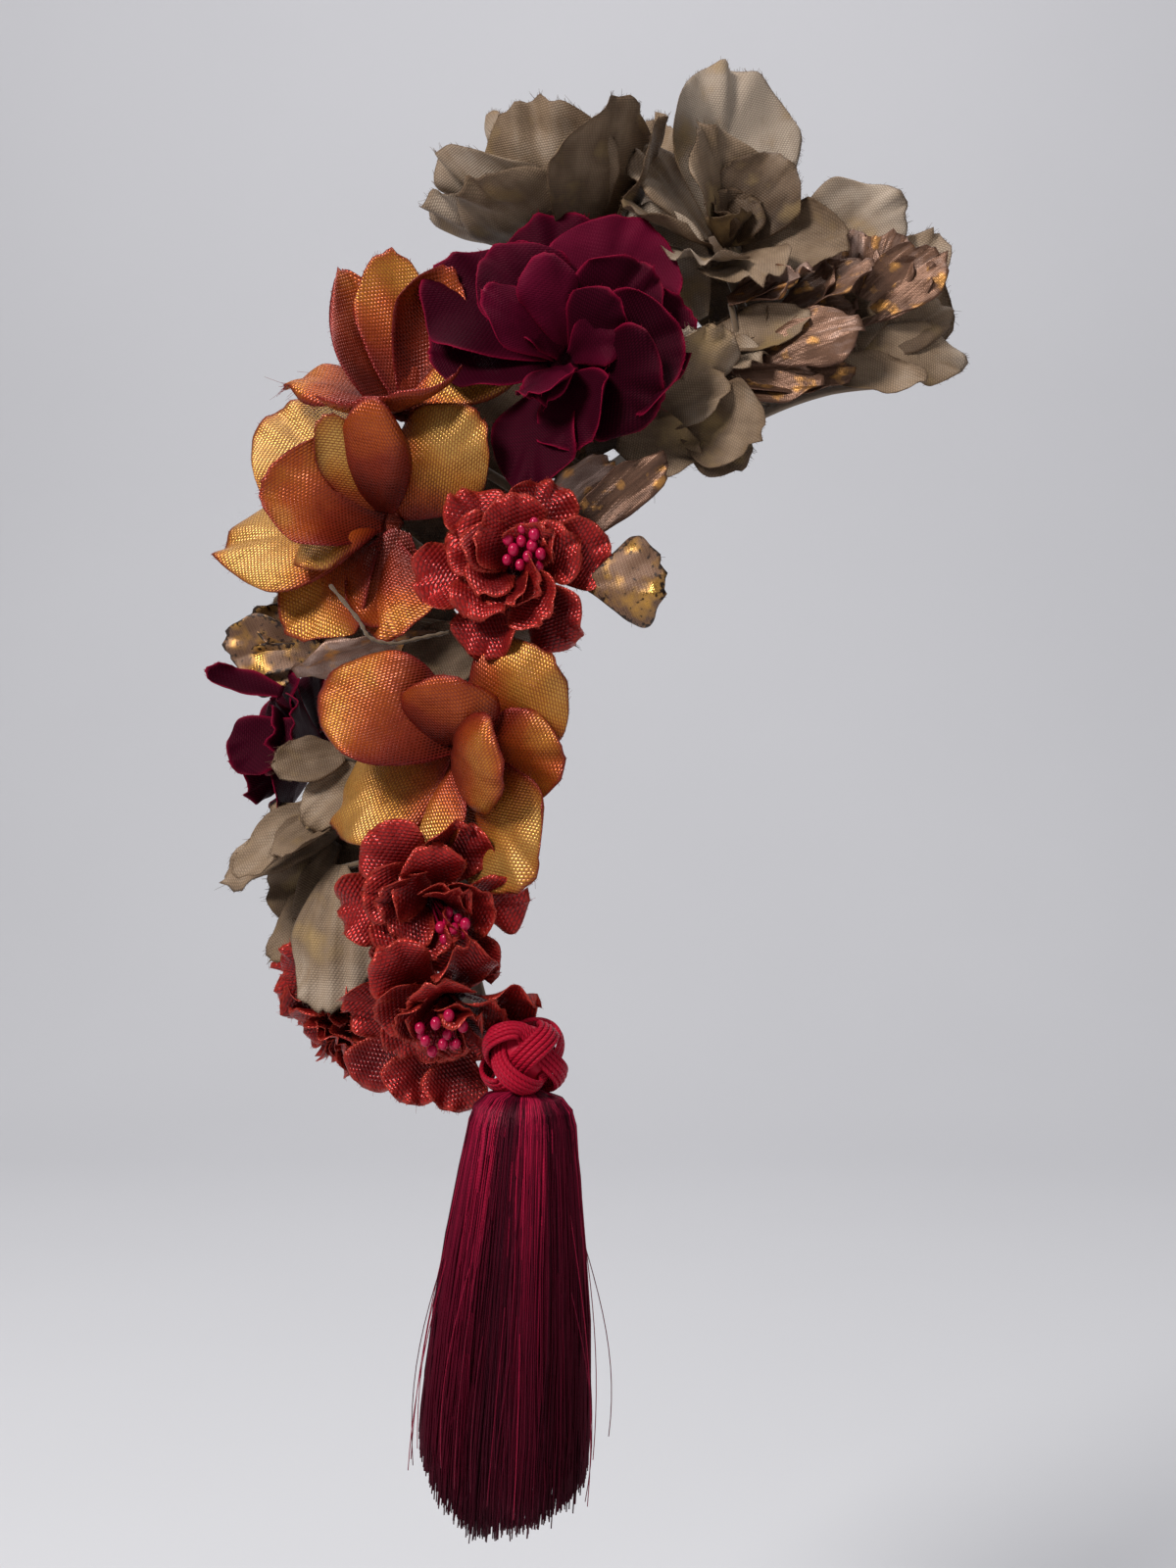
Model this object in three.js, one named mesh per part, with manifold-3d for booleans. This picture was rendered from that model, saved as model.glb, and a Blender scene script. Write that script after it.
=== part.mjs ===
// Flower headpiece: a half crown of fabric flowers and leaves on a curved band, with a knotted tassel
// at its lower end. Millimetres, +Z up. +X runs along the crown of the head, -Y is the side that shows
// the flowers, and the origin is on the band's inner face, at the crown of the head.
import * as THREE from "three";
import { mergeVertices } from "three/addons/utils/BufferGeometryUtils.js";
import Module from "manifold-3d";

const wasm = await Module();
wasm.setup();

// Driving sizes
const HEAD = { length: 117, width: 77, height: 118, ahead: 22 }; // half sizes; the band is ahead of its middle
const BAND = { thick: 2, steps: 3 }; // steps: rows of the wall between two sections
const CLOTH = 1; // thickness of a petal or leaf
const GAP = 0.35; // clearance between neighbouring pieces
const SEAT = 0.1; // clearance of a stem or stalk over the rounded face of the band
const ROOT_WIDTH = 3.2; // width of a petal where it is gathered into the flower's hub
const ROLL = 20; // degrees that a petal is turned about its length, so that neighbours overlap like tiles
const ROOT_PITCH = 4.4; // spacing of the roots of gathered petals round their ring
const SINGLE_ROOT = -0.5; // distance of a single petal's root from the flower's axis
const WHORL_RISE = 1.8; // step from one whorl to the next along the flower's axis
const NECK = 3; // straight part of the stem behind the petals
const HUB_SIDES = 8; // sides of the room kept clear round a flower's middle
const STEM = { radius: 1.3, sides: 4 };
const COLUMNS = 2; // columns of the wall of a petal or leaf
const PETAL_ROWS = { least: 2, most: 4, spacing: 24 }; // a row more for each spacing of a petal's length
const LEAF_ROWS = 4; // the first row is the stalk
const REAR_ROWS = 3;
const FRILL_WAVES = 7; // edge waves round a petal
const LEAF_FRILL = 0.8;
const INSIDE = 0.9; // share of a petal's outline within which its facing direction is measured
const WIDTH_SAMPLES = Array.from({ length: 21 }, (_, k) => k / 20);

const rad = THREE.MathUtils.degToRad;
const HEAD_MIDDLE = HEAD.height * Math.sqrt(1 - (HEAD.ahead / HEAD.width) ** 2); // how far the head's middle is below the origin
const vec = (x, y, z) => new THREE.Vector3(x, y, z);

// Finishes, with the colour, roughness and metalness of each cloth
const FINISHES = {
  felt: { color: 0x4a3b2e, roughness: 0.95, metalness: 0 },
  wine: { color: 0x5a0c28, roughness: 0.7, metalness: 0 },
  amber: { color: 0xb8601e, roughness: 0.45, metalness: 0.35 },
  red: { color: 0xa81e20, roughness: 0.4, metalness: 0.4 },
  taupe: { color: 0x7d6a58, roughness: 0.8, metalness: 0 },
  copper: { color: 0x9a6446, roughness: 0.4, metalness: 0.5 },
  gilt: { color: 0xa8843c, roughness: 0.25, metalness: 0.7 },
  silk: { color: 0x7c0f2a, roughness: 0.45, metalness: 0 },
};

// Outlines of a flat petal: tip is its half width at the end, as a share of the widest, flare is how fast
// it widens from its root, and round is how far the corners of the tip are drawn back
const OUTLINES = {
  round: { tip: 0.75, flare: 0.9, round: 0.3 },
  broad: { tip: 0.85, flare: 0.8, round: 0.24 },
  full: { tip: 0.72, flare: 1.9, round: 0.32 },
  long: { tip: 0.6, flare: 1.5, round: 0.3 },
  point: { tip: 0.1, flare: 1.9, round: 0.05 },
  strip: { tip: 0.6, flare: 1.2, round: 0.2 },
};

// Sections of the band. at: angle round the head; middle: its place across the head; wide: its width
const BAND_SECTIONS = [
  { at: 87, middle: 6, wide: 14 },
  { at: 97, middle: 6, wide: 20 },
  { at: 112, middle: 1, wide: 26 },
  { at: 150, middle: 0, wide: 30 },
  { at: 185, middle: 0, wide: 28 },
  { at: 210, middle: 1, wide: 12 },
];

// Flowers. centre: where the petals meet; turn and lift: degrees the face turns to the left of -Y and
// above the horizon; foot and side: where the stem meets the band, by its angle and its place across
const FLOWERS = [
  { name: "wine_flower", finish: "wine", centre: [-80, -15, 3], turn: 8, lift: 12, foot: 122, side: -8 },
  { name: "amber_flower_lower", finish: "amber", centre: [-106, -24, -91], turn: 24, lift: 0, foot: 166, side: -9 },
  { name: "amber_flower_middle", finish: "amber", centre: [-125, -13, -36], turn: 22, lift: 6, foot: 150, side: -1 },
  { name: "red_flower_1", finish: "red", centre: [-92, -29, -49], turn: 10, lift: 6, foot: 145, side: -11 },
  { name: "amber_flower_upper", finish: "amber", centre: [-119, -9, -9], turn: 8, lift: 38, foot: 136, side: 2 },
  { name: "red_flower_2", finish: "red", centre: [-112, -23, -129], turn: 10, lift: -16, foot: 185, side: -9 },
  { name: "red_flower_3", finish: "red", centre: [-110, -22, -152], turn: 6, lift: -46, foot: 197, side: -6 },
  { name: "taupe_flower_left", finish: "taupe", centre: [-78, 12, 34], turn: 0, lift: 86, foot: 117, side: 6 },
  { name: "taupe_flower_right", finish: "taupe", centre: [-40, 4, 37], turn: -10, lift: 34, foot: 104, side: 0 },
  { name: "wine_flower_rear", finish: "wine", centre: [-146, 24, -90], turn: 80, lift: 12, foot: 170, side: 9 },
  { name: "red_flower_4", finish: "red", centre: [-138, 14, -158], turn: 62, lift: -38, foot: 192, side: 6 },
];

// Petals of each flower, in whorls that share a bend. from, to: degrees off the flower's axis at a petal's
// root and tip; cup: degrees that its edges turn up; frill: height of its edge waves; shape: its outline.
// A row of petals is its direction round the face, from the right, then its flat length and width
const RED_WHORLS = [
  {
    from: 66, to: 98, cup: 30, frill: 1.6, shape: "broad",
    petals: [[10, 20, 19], [70, 19, 18], [130, 20, 19], [190, 21, 19], [250, 20, 19], [310, 20, 19]],
  },
  { from: 24, to: 62, cup: 40, frill: 1.4, shape: "broad", petals: [[40, 15, 13], [160, 15, 13], [280, 14, 13]] },
];
const WHORLS = {
  wine_flower: [
    {
      from: 72, to: 100, cup: 18, frill: 1.2, shape: "full",
      petals: [[142, 38, 36], [100, 36, 33], [66, 37, 34], [174, 31, 28], [22, 29, 28], [-110, 32, 24]],
    },
    {
      from: 56, to: 86, cup: 24, frill: 1.2, shape: "full",
      petals: [[122, 31, 26], [40, 28, 26], [2, 28, 32], [-34, 27, 30], [-74, 23, 24]],
    },
    { from: 22, to: 60, cup: -30, frill: 0, shape: "round", petals: [[152, 27, 20], [95, 26, 17], [38, 22, 18], [-110, 19, 16]] },
  ],
  amber_flower_lower: [
    {
      from: 66, to: 102, cup: -28, frill: 0.8, shape: "full",
      petals: [[208, 38, 36], [250, 32, 28], [-54, 36, 33], [-8, 26, 25], [34, 31, 31]],
    },
    { from: 50, to: 74, cup: 45, frill: 0.8, shape: "full", petals: [[150, 37, 32]] },
    { from: 30, to: 78, cup: -35, frill: 0, shape: "full", petals: [[-30, 28, 28], [75, 22, 26]] },
  ],
  amber_flower_middle: [
    {
      from: 64, to: 98, cup: -24, frill: 0.8, shape: "full",
      petals: [[138, 41, 36], [188, 41, 36], [228, 34, 27], [-84, 28, 22], [38, 34, 27]],
    },
    { from: 30, to: 62, cup: 35, frill: 0.8, shape: "full", petals: [[160, 33, 30]] },
    { from: 24, to: 62, cup: -35, frill: 0, shape: "long", petals: [[212, 24, 16], [100, 30, 16], [62, 34, 18]] },
  ],
  amber_flower_upper: [
    { from: 66, to: 46, cup: 30, frill: 0, shape: "point", petals: [[114, 43, 29]] },
    { from: 62, to: 48, cup: 30, frill: 0, shape: "full", petals: [[90, 42, 22], [64, 38, 20]] },
    { from: 70, to: 84, cup: 20, frill: 0.8, shape: "strip", petals: [[166, 33, 20], [20, 33, 17]] },
    { from: 68, to: 30, cup: 25, frill: 0.6, shape: "full", petals: [[262, 22, 38]] },
  ],
  taupe_flower_left: [
    {
      from: 50, to: 10, cup: 24, frill: 1.6, shape: "full",
      petals: [[140, 51, 38], [92, 54, 40], [44, 49, 33], [240, 44, 40], [292, 45, 40], [340, 43, 32]],
    },
    { from: 70, to: 44, cup: 30, frill: 1.4, shape: "full", petals: [[206, 46, 36]] },
    { from: 82, to: 62, cup: 30, frill: 1.4, shape: "full", petals: [[186, 42, 34], [228, 40, 32]] },
  ],
  taupe_flower_right: [
    {
      from: 56, to: 64, cup: 25, frill: 1.4, shape: "full",
      petals: [[94, 46, 42], [150, 30, 26], [196, 28, 28], [240, 24, 26], [282, 26, 24], [340, 30, 22]],
    },
    { from: 30, to: 44, cup: 35, frill: 1.2, shape: "full", petals: [[124, 30, 26], [46, 26, 24]] },
  ],
  wine_flower_rear: [
    {
      from: 58, to: 88, cup: 22, frill: 1.0, shape: "round",
      petals: [[120, 26, 19], [190, 22, 20], [250, 24, 21], [320, 22, 20], [50, 22, 20]],
    },
  ],
  red_flower_1: RED_WHORLS,
  red_flower_2: RED_WHORLS,
  red_flower_3: RED_WHORLS,
  red_flower_4: RED_WHORLS,
};

// Leaves and single petals. root, tip: their ends; wide: flat width; turn, lift: where the upper face
// looks; arch: degrees that the tip curls towards that face; cup: degrees that the edges turn up
const LEAVES = [
  { name: "gilded_leaf_right", finish: "gilt", root: [-75, -34, -53], tip: [-56, -39, -52], wide: 25, turn: -4, lift: 0, arch: -50, cup: -50, shape: "broad", foot: 140, side: -12 },
  { name: "gilded_leaf_left", finish: "gilt", root: [-142, 9, -67], tip: [-170, 14, -63], wide: 18, turn: 20, lift: -10, arch: 20, cup: 45, shape: "broad", foot: 159, side: 4 },
  { name: "copper_leaf_1", finish: "copper", root: [-10, -6, 14], tip: [12, -8, 35], wide: 18, turn: -10, lift: 20, arch: 20, cup: 30, shape: "broad", foot: 92, side: -2 },
  { name: "copper_leaf_2", finish: "copper", root: [-40, -9, 20], tip: [-20, -14, 29], wide: 13, turn: 10, lift: 50, arch: 20, cup: 35, shape: "long", foot: 107, side: -6 },
  { name: "copper_leaf_3", finish: "copper", root: [-26, -8, 18], tip: [-4, -11, 30], wide: 16, turn: 10, lift: 40, arch: 15, cup: 35, shape: "long", foot: 100, side: -3 },
  { name: "copper_leaf_4", finish: "copper", root: [-32, -13, 6], tip: [-8, -19, 15], wide: 17, turn: 0, lift: 25, arch: -25, cup: -30, shape: "long", foot: 104, side: -5 },
  { name: "copper_leaf_5", finish: "copper", root: [-41, -13, 1], tip: [-8, -12, 1], wide: 13, turn: 0, lift: 30, arch: 12, cup: 24, shape: "long", foot: 114, side: -5 },
  { name: "taupe_leaf_end_upper", finish: "taupe", root: [-23, 6, 33], tip: [6, 8, 52], wide: 27, turn: -8, lift: 14, arch: 10, cup: 25, shape: "full", foot: 98, side: 2 },
  { name: "taupe_leaf_end_middle", finish: "taupe", root: [1, 8, 17], tip: [17, 12, 42], wide: 17, turn: -20, lift: 10, arch: 10, cup: 30, shape: "full", foot: 90, side: 4 },
  { name: "taupe_leaf_end_lower", finish: "taupe", root: [-9, -5, 9], tip: [22, -2, 8], wide: 16, turn: -10, lift: 16, arch: -15, cup: 20, shape: "full", foot: 94, side: -1 },
  { name: "taupe_leaf_inner_1", finish: "taupe", root: [-47, -8, 9], tip: [-20, -16, 16], wide: 15, turn: 0, lift: 30, arch: 15, cup: 30, shape: "long", foot: 110, side: -6 },
  { name: "taupe_leaf_inner_2", finish: "taupe", root: [-49, -14, -2], tip: [-43, -22, 12], wide: 16, turn: -10, lift: 0, arch: -20, cup: -20, shape: "full", foot: 113, side: -10 },
  { name: "taupe_leaf_inner_3", finish: "taupe", root: [-30, 2, 12], tip: [2, -1, 22], wide: 24, turn: -5, lift: 20, arch: 10, cup: 20, shape: "full", foot: 101, side: 3 },
  { name: "taupe_leaf_head", finish: "taupe", root: [-53, -15, -10], tip: [-32, -23, -16], wide: 24, turn: -10, lift: 5, arch: 25, cup: 30, shape: "full", foot: 119, side: -4 },
  { name: "copper_ribbon", finish: "copper", root: [-85, -20, -38], tip: [-69, -24, -20], wide: 10, turn: -50, lift: 10, arch: 80, cup: 0, shape: "strip", foot: 140, side: -5 },
  { name: "copper_twig_leaf", finish: "copper", root: [-80, -27, -42], tip: [-57, -28, -20], wide: 12, turn: -6, lift: 6, arch: 16, cup: 30, shape: "strip", foot: 143, side: -8 },
  { name: "taupe_leaf_under_red", finish: "taupe", root: [-98, -21, -65], tip: [-78, -31, -66], wide: 10, turn: 0, lift: 40, arch: -15, cup: 15, shape: "long", foot: 156, side: -11 },
  { name: "copper_leaf_side", finish: "copper", root: [-112, -14, -64], tip: [-148, -12, -74], wide: 14, turn: 10, lift: -55, arch: 12, cup: 20, shape: "long", foot: 160, side: -4 },
  { name: "taupe_leaf_side_1", finish: "taupe", root: [-137, -1, -93], tip: [-155, -4, -97], wide: 13, turn: 30, lift: 10, arch: 20, cup: 30, shape: "full", foot: 173, side: -1 },
  { name: "taupe_leaf_side_2", finish: "taupe", root: [-138, 2, -107], tip: [-166, 0, -122], wide: 17, turn: 20, lift: 40, arch: -10, cup: 25, shape: "long", foot: 177, side: 0 },
  { name: "taupe_leaf_side_3", finish: "taupe", root: [-139, 13, -112], tip: [-171, 18, -127], wide: 15, turn: 40, lift: 30, arch: -10, cup: 25, shape: "full", foot: 180, side: 6 },
  { name: "taupe_leaf_side_4", finish: "taupe", root: [-138, -2, -121], tip: [-141, -8, -158], wide: 25, turn: 24, lift: -6, arch: -15, cup: -25, shape: "full", foot: 182, side: -2 },
  { name: "taupe_leaf_side_5", finish: "taupe", root: [-140, 11, -124], tip: [-159, 14, -146], wide: 15, turn: 40, lift: 10, arch: 10, cup: 25, shape: "full", foot: 185, side: 4 },
];

// Leaves that finish the back. at: angle on the band; reach: how far the tip stands out from the head;
// swing: degrees that the tip is carried along the band; lean: how far back the tip leans
const REAR_LEAVES = [
  { at: 90, reach: 36, swing: -4, lean: 17 },
  { at: 103, reach: 54, swing: 0, lean: 17 },
  { at: 116, reach: 20, swing: 3, lean: 17 },
  { at: 129, reach: 54, swing: 5, lean: 17 },
  { at: 142, reach: 58, swing: 4, lean: 17 },
  { at: 154, reach: 54, swing: 4, lean: 17 },
  { at: 184, reach: 46, swing: 2, lean: 17 },
  { at: 202, reach: 34, swing: 4, lean: 17 },
  { at: 97, reach: 44, swing: -3, lean: 30 },
  { at: 123, reach: 38, swing: 6, lean: 30 },
  { at: 135, reach: 48, swing: 5, lean: 30 },
  { at: 148, reach: 48, swing: 5, lean: 30 },
  { at: 193, reach: 32, swing: 3, lean: 30 },
];
const REAR = { wide: 34, root: 5, side: 11, arch: -20, cup: 22 }; // sizes that the rear leaves share

// Tassel. The knot is a flat bundle of cords in a closed braid of three leads round a ball
const KNOT = {
  centre: [-90.5, -30, -166], radius: 8.2, height: 7, weave: 1.9, wide: 5.2, thick: 2.5, bights: 4, leads: 3, steps: 28,
  cord: 1.6, foot: 205, side: -3, // the cord that it hangs by
};
const KNOT_SECTION = [[-0.5, -0.2], [-0.3, 0.5], [0.3, 0.5], [0.5, -0.2]]; // shares of its width and thickness
const SKIRT = { top: -177, topRadius: 12, endRadius: 20.5, lockRadius: 7, sides: 4, rings: 3, lean: 3.2 };
// Locks of the skirt, round from its right: where each ends, and how far its end strays outwards
const LOCKS = [
  { end: -270, stray: 1 },
  { end: -275, stray: 0 },
  { end: -278, stray: 1 },
  { end: -271, stray: 0 },
  { end: -265, stray: 2 },
  { end: -266, stray: 2 },
  { end: -273, stray: 0 },
  { end: -282, stray: 0 },
  { end: -280, stray: 1 },
  { end: -275, stray: 0 },
];

// A solid from a closed three.js geometry
function solidOf(geometry) {
  const bare = geometry.index ? geometry.toNonIndexed() : geometry.clone();
  bare.deleteAttribute("normal");
  bare.deleteAttribute("uv");
  const merged = mergeVertices(bare, 1e-4);
  const vertProperties = new Float32Array(merged.attributes.position.array);
  const triVerts = new Uint32Array(merged.index.array);
  return new wasm.Manifold(new wasm.Mesh({ numProp: 3, vertProperties, triVerts }));
}

// The three.js geometry of a solid
function geometryOf(solid) {
  const mesh = solid.getMesh();
  const geometry = new THREE.BufferGeometry();
  geometry.setAttribute("position", new THREE.BufferAttribute(mesh.vertProperties, 3));
  geometry.setIndex(new THREE.BufferAttribute(mesh.triVerts, 1));
  geometry.computeVertexNormals();
  return geometry;
}

// The two faces of a wall over a grid of points, and the rim round it. The rim runs from the wall's first
// row up one side and back down the other, and is left open along the first row if the wall goes on there
function addWall(mesh, { rows, columns }, pointAt, thick, openRoot = false) {
  const first = mesh.points.length;
  const across = columns + 1;
  const back = (rows + 1) * across;
  const samples = [];
  for (let i = 0; i <= rows; i++) {
    for (let j = 0; j <= columns; j++) samples.push(pointAt(i / rows, (2 * j) / columns - 1));
  }
  for (const side of [thick / 2, -thick / 2]) {
    for (const { point, normal } of samples) mesh.points.push(point.clone().addScaledVector(normal, side));
  }
  const id = (i, j) => first + i * across + j;
  const quad = (a, b, c, d) => mesh.triangles.push(a, b, c, a, c, d);
  for (let i = 0; i < rows; i++) {
    for (let j = 0; j < columns; j++) {
      const [a, b, c, d] = [id(i, j), id(i + 1, j), id(i + 1, j + 1), id(i, j + 1)];
      mesh.triangles.push(a, b, c, a, c, d, a + back, c + back, b + back, a + back, d + back, c + back);
    }
  }
  const root = Array.from({ length: columns }, (_, j) => id(0, j));
  const rim = [];
  for (let i = 0; i < rows; i++) rim.push(id(i, columns));
  for (let j = columns; j > 0; j--) rim.push(id(rows, j));
  for (let i = rows; i >= 0; i--) rim.push(id(i, 0));
  const loop = openRoot ? rim : [...rim, ...root.slice(1), id(0, columns)];
  for (let k = 0; k + 1 < loop.length; k++) quad(loop[k], loop[k + 1], loop[k + 1] + back, loop[k] + back);
  const front = [...root, id(0, columns)];
  return { front, back: front.map((k) => k + back) };
}

function meshGeometry(mesh) {
  const geometry = new THREE.BufferGeometry();
  geometry.setAttribute("position", new THREE.Float32BufferAttribute(mesh.points.flatMap((p) => p.toArray()), 3));
  geometry.setIndex(mesh.triangles);
  return geometry;
}

// A closed wall over a grid of points
function wallSolid(grid, pointAt, thick) {
  const mesh = { points: [], triangles: [] };
  addWall(mesh, grid, pointAt, thick);
  return solidOf(meshGeometry(mesh));
}

// Half width of a flat petal at u along it, as a share of its widest
function outlineAt(petal, u) {
  const { tip, flare, round } = OUTLINES[petal.shape];
  const base = ROOT_WIDTH / petal.wide;
  const tipSlope = Math.max((-tip * (1 - 2 * round)) / (2 * round), -1.2);
  const width = (s) =>
    base * (1 + 2 * s) * (1 - s) ** 2 + flare * s * (1 - s) ** 2 + tip * s * s * (3 - 2 * s) + tipSlope * s * s * (s - 1);
  const widest = Math.max(...WIDTH_SAMPLES.map(width));
  return width(u) / widest;
}

// A petal's surface in its own frame, x outwards from its root and z along the flower's axis, carried past
// its edges by a margin
function petalPoint(petal, u, v, margin) {
  const { long, wide, cup, frill } = petal;
  const { round } = OUTLINES[petal.shape];
  const along = (u - round * u * u * v * v) * (1 + margin / long);
  const side = v * ((outlineAt(petal, u) * wide) / 2 + margin);
  const from = rad(petal.from);
  const bend = rad(petal.to - petal.from) || 1e-6;
  const angle = from + bend * along;
  const out = (long * (Math.cos(from) - Math.cos(angle))) / bend;
  const rise = (long * (Math.sin(angle) - Math.sin(from))) / bend;
  const curl = (rad(cup) * 2) / wide || 1e-6;
  const edge = u * Math.max(Math.abs(v), u) ** 3;
  const wave = frill * edge * Math.sin(FRILL_WAVES * Math.atan2(v, u - 0.4) + petal.at);
  const lift = (1 - Math.cos(curl * side)) / curl + wave;
  return vec(out - lift * Math.cos(angle), Math.sin(curl * side) / curl, rise + lift * Math.sin(angle));
}

// The point of a surface, and the facing direction of the same surface without its edge waves. The direction
// is taken a little inside the outline, because the grid closes up at the corners of a rounded tip
function sampleOf(surfaceOf, petal) {
  const surface = surfaceOf(petal);
  const smooth = surfaceOf({ ...petal, frill: 0 });
  const step = 0.01;
  return (u, v) => {
    const [s, t] = [Math.min(u, INSIDE), v * INSIDE];
    const along = smooth(s + step, t).sub(smooth(s - step, t));
    const across = smooth(s, t + step).sub(smooth(s, t - step));
    return { point: surface(u, v), normal: along.cross(across).normalize() };
  };
}

// The surface of one petal of a whorl: turned to its place round the ring and tilted like a tile
function petalSurface(petal, frame, radius, margin) {
  const lean = rad((petal.from + petal.to) / 2);
  const place = frame.clone().multiply(new THREE.Matrix4().makeRotationZ(rad(petal.at)));
  const tile = new THREE.Matrix4().makeRotationAxis(vec(Math.sin(lean), 0, Math.cos(lean)), rad(ROLL));
  place.multiply(tile.setPosition(radius, 0, petal.raise));
  return sampleOf((shape) => (u, v) => petalPoint(shape, u, v, margin).applyMatrix4(place), petal);
}

function gridOf({ long }) {
  const { least, most, spacing } = PETAL_ROWS;
  return { rows: Math.min(most, least + Math.floor(long / spacing)), columns: COLUMNS };
}

const ringRadius = (petals) => (petals.length > 2 ? (petals.length * ROOT_PITCH) / (2 * Math.PI) : SINGLE_ROOT);

// A whorl of three or more petals is one closed wall gathered round a ring
function whorlSolids(petals, frame) {
  const radius = ringRadius(petals);
  if (petals.length < 3) return petals.map((petal) => wallSolid(gridOf(petal), petalSurface(petal, frame, radius, 0), CLOTH));
  const mesh = { points: [], triangles: [] };
  const inOrder = [...petals].sort((a, b) => a.at - b.at);
  const roots = inOrder.map((petal) => addWall(mesh, gridOf(petal), petalSurface(petal, frame, radius, 0), CLOTH, true));
  closeRing(mesh, roots);
  return [solidOf(meshGeometry(mesh))];
}

// Fills the ring between the petals' roots, in front and behind, and the short sides between the roots
function closeRing(mesh, roots) {
  const front = roots.flatMap((root) => root.front);
  const back = roots.flatMap((root) => root.back);
  const across = roots[0].front.length;
  for (let low = 0, high = front.length - 1; high - low > 1; ) {
    const third = (high - low) % 2 ? ++low : --high;
    const [a, c] = third === low ? [low - 1, high] : [low, high + 1];
    mesh.triangles.push(front[a], front[third], front[c], back[a], back[c], back[third]);
  }
  for (let k = across - 1; k < front.length; k += across) {
    const next = (k + 1) % front.length;
    mesh.triangles.push(front[next], front[k], back[k], front[next], back[k], back[next]);
  }
}

// The direction that a face looks in, from its turn to the left of -Y and its lift above the horizon
function facing(turn, lift) {
  const flat = Math.cos(rad(lift));
  return vec(-Math.sin(rad(turn)) * flat, -Math.cos(rad(turn)) * flat, Math.sin(rad(lift)));
}

// A point over the head: angle from +X in the band's plane, height above the head, and place across the band
function bandPoint(angle, height, side) {
  const across = (side - HEAD.ahead) / HEAD.width;
  const narrowing = Math.sqrt(1 - across * across);
  const x = HEAD.length * narrowing * Math.cos(rad(angle));
  const z = HEAD.height * narrowing * Math.sin(rad(angle));
  const outward = vec(x / HEAD.length ** 2, across / HEAD.width, z / HEAD.height ** 2).normalize();
  return vec(x, side, z - HEAD_MIDDLE).addScaledVector(outward, height);
}

// The band's middle and width between two of its sections
function bandSection(u) {
  const place = u * (BAND_SECTIONS.length - 1);
  const k = Math.min(Math.floor(place), BAND_SECTIONS.length - 2);
  const [a, b] = [BAND_SECTIONS[k], BAND_SECTIONS[k + 1]];
  const between = (key) => THREE.MathUtils.lerp(a[key], b[key], place - k);
  return { at: between("at"), middle: between("middle"), wide: between("wide") };
}

function bandSolid(margin = 0) {
  const sample = (u, v) => {
    const { at, middle, wide } = bandSection(u);
    const side = middle - v * (wide / 2 + margin);
    const normal = bandPoint(at, 1, side).sub(bandPoint(at, 0, side));
    return { point: bandPoint(at, BAND.thick / 2, side), normal };
  };
  const grid = { rows: BAND.steps * (BAND_SECTIONS.length - 1), columns: COLUMNS };
  return wallSolid(grid, sample, BAND.thick + 2 * margin);
}

// A closed tube through rings of points
function tubeSolid(rings) {
  const sides = rings[0].length;
  const mesh = { points: rings.flat(), triangles: [] };
  for (let i = 0; i + 1 < rings.length; i++) {
    for (let j = 0; j < sides; j++) {
      const next = (j + 1) % sides;
      const [a, b, c, d] = [i * sides + j, i * sides + next, (i + 1) * sides + next, (i + 1) * sides + j];
      mesh.triangles.push(a, b, c, a, c, d);
    }
  }
  const last = (rings.length - 1) * sides;
  for (let j = 1; j + 1 < sides; j++) mesh.triangles.push(0, j + 1, j, last, last + j, last + j + 1);
  return solidOf(meshGeometry(mesh));
}

// A round bar along a bent line
function barSolid(line, radius, sides) {
  const rings = line.map((point, k) => {
    const along = line[Math.min(k + 1, line.length - 1)].clone().sub(line[Math.max(k - 1, 0)]).normalize();
    const across = vec(along.z, 0, -along.x).normalize();
    const over = along.clone().cross(across);
    return Array.from({ length: sides }, (_, j) => {
      const a = (2 * Math.PI * j) / sides;
      return point.clone().addScaledVector(across, radius * Math.cos(a)).addScaledVector(over, radius * Math.sin(a));
    });
  });
  return tubeSolid(rings);
}

function flowerFrame(flower) {
  const axis = facing(flower.turn, flower.lift);
  const right = vec(1, 0, 0).addScaledVector(axis, -axis.x).normalize();
  const up = axis.clone().cross(right);
  return new THREE.Matrix4().makeBasis(right, up, axis).setPosition(vec(...flower.centre));
}

// A flower's blades and core as functions of a margin, so that the room round it can be cut from neighbours
function flowerParts(flower) {
  const frame = flowerFrame(flower);
  const centre = vec(...flower.centre);
  const axis = facing(flower.turn, flower.lift);
  const foot = bandPoint(flower.foot, BAND.thick + SEAT, flower.side);
  const whorls = WHORLS[flower.name].map((whorl, k) =>
    whorl.petals.map(([at, long, wide]) => ({ ...whorl, at, long, wide, raise: k * WHORL_RISE })),
  );
  const depth = WHORL_RISE * (whorls.length - 1) + CLOTH;
  const blades = (margin) =>
    margin === 0
      ? whorls.flatMap((petals) => whorlSolids(petals, frame))
      : whorls.flatMap((petals) =>
          petals.map((petal) =>
            wallSolid(gridOf(petal), petalSurface(petal, frame, ringRadius(petals), margin), CLOTH + 2 * margin),
          ),
        );
  const front = centre.clone().addScaledVector(axis, depth);
  const back = centre.clone().addScaledVector(axis, -NECK);
  const core = (margin) => {
    const stem = barSolid([front, back, foot], STEM.radius + margin, STEM.sides);
    if (margin === 0) return [stem];
    return [stem, barSolid([front, back], ringRadius(whorls[0]) + margin, HUB_SIDES)];
  };
  return { name: flower.name, finish: flower.finish, frame, blades, core };
}

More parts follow.
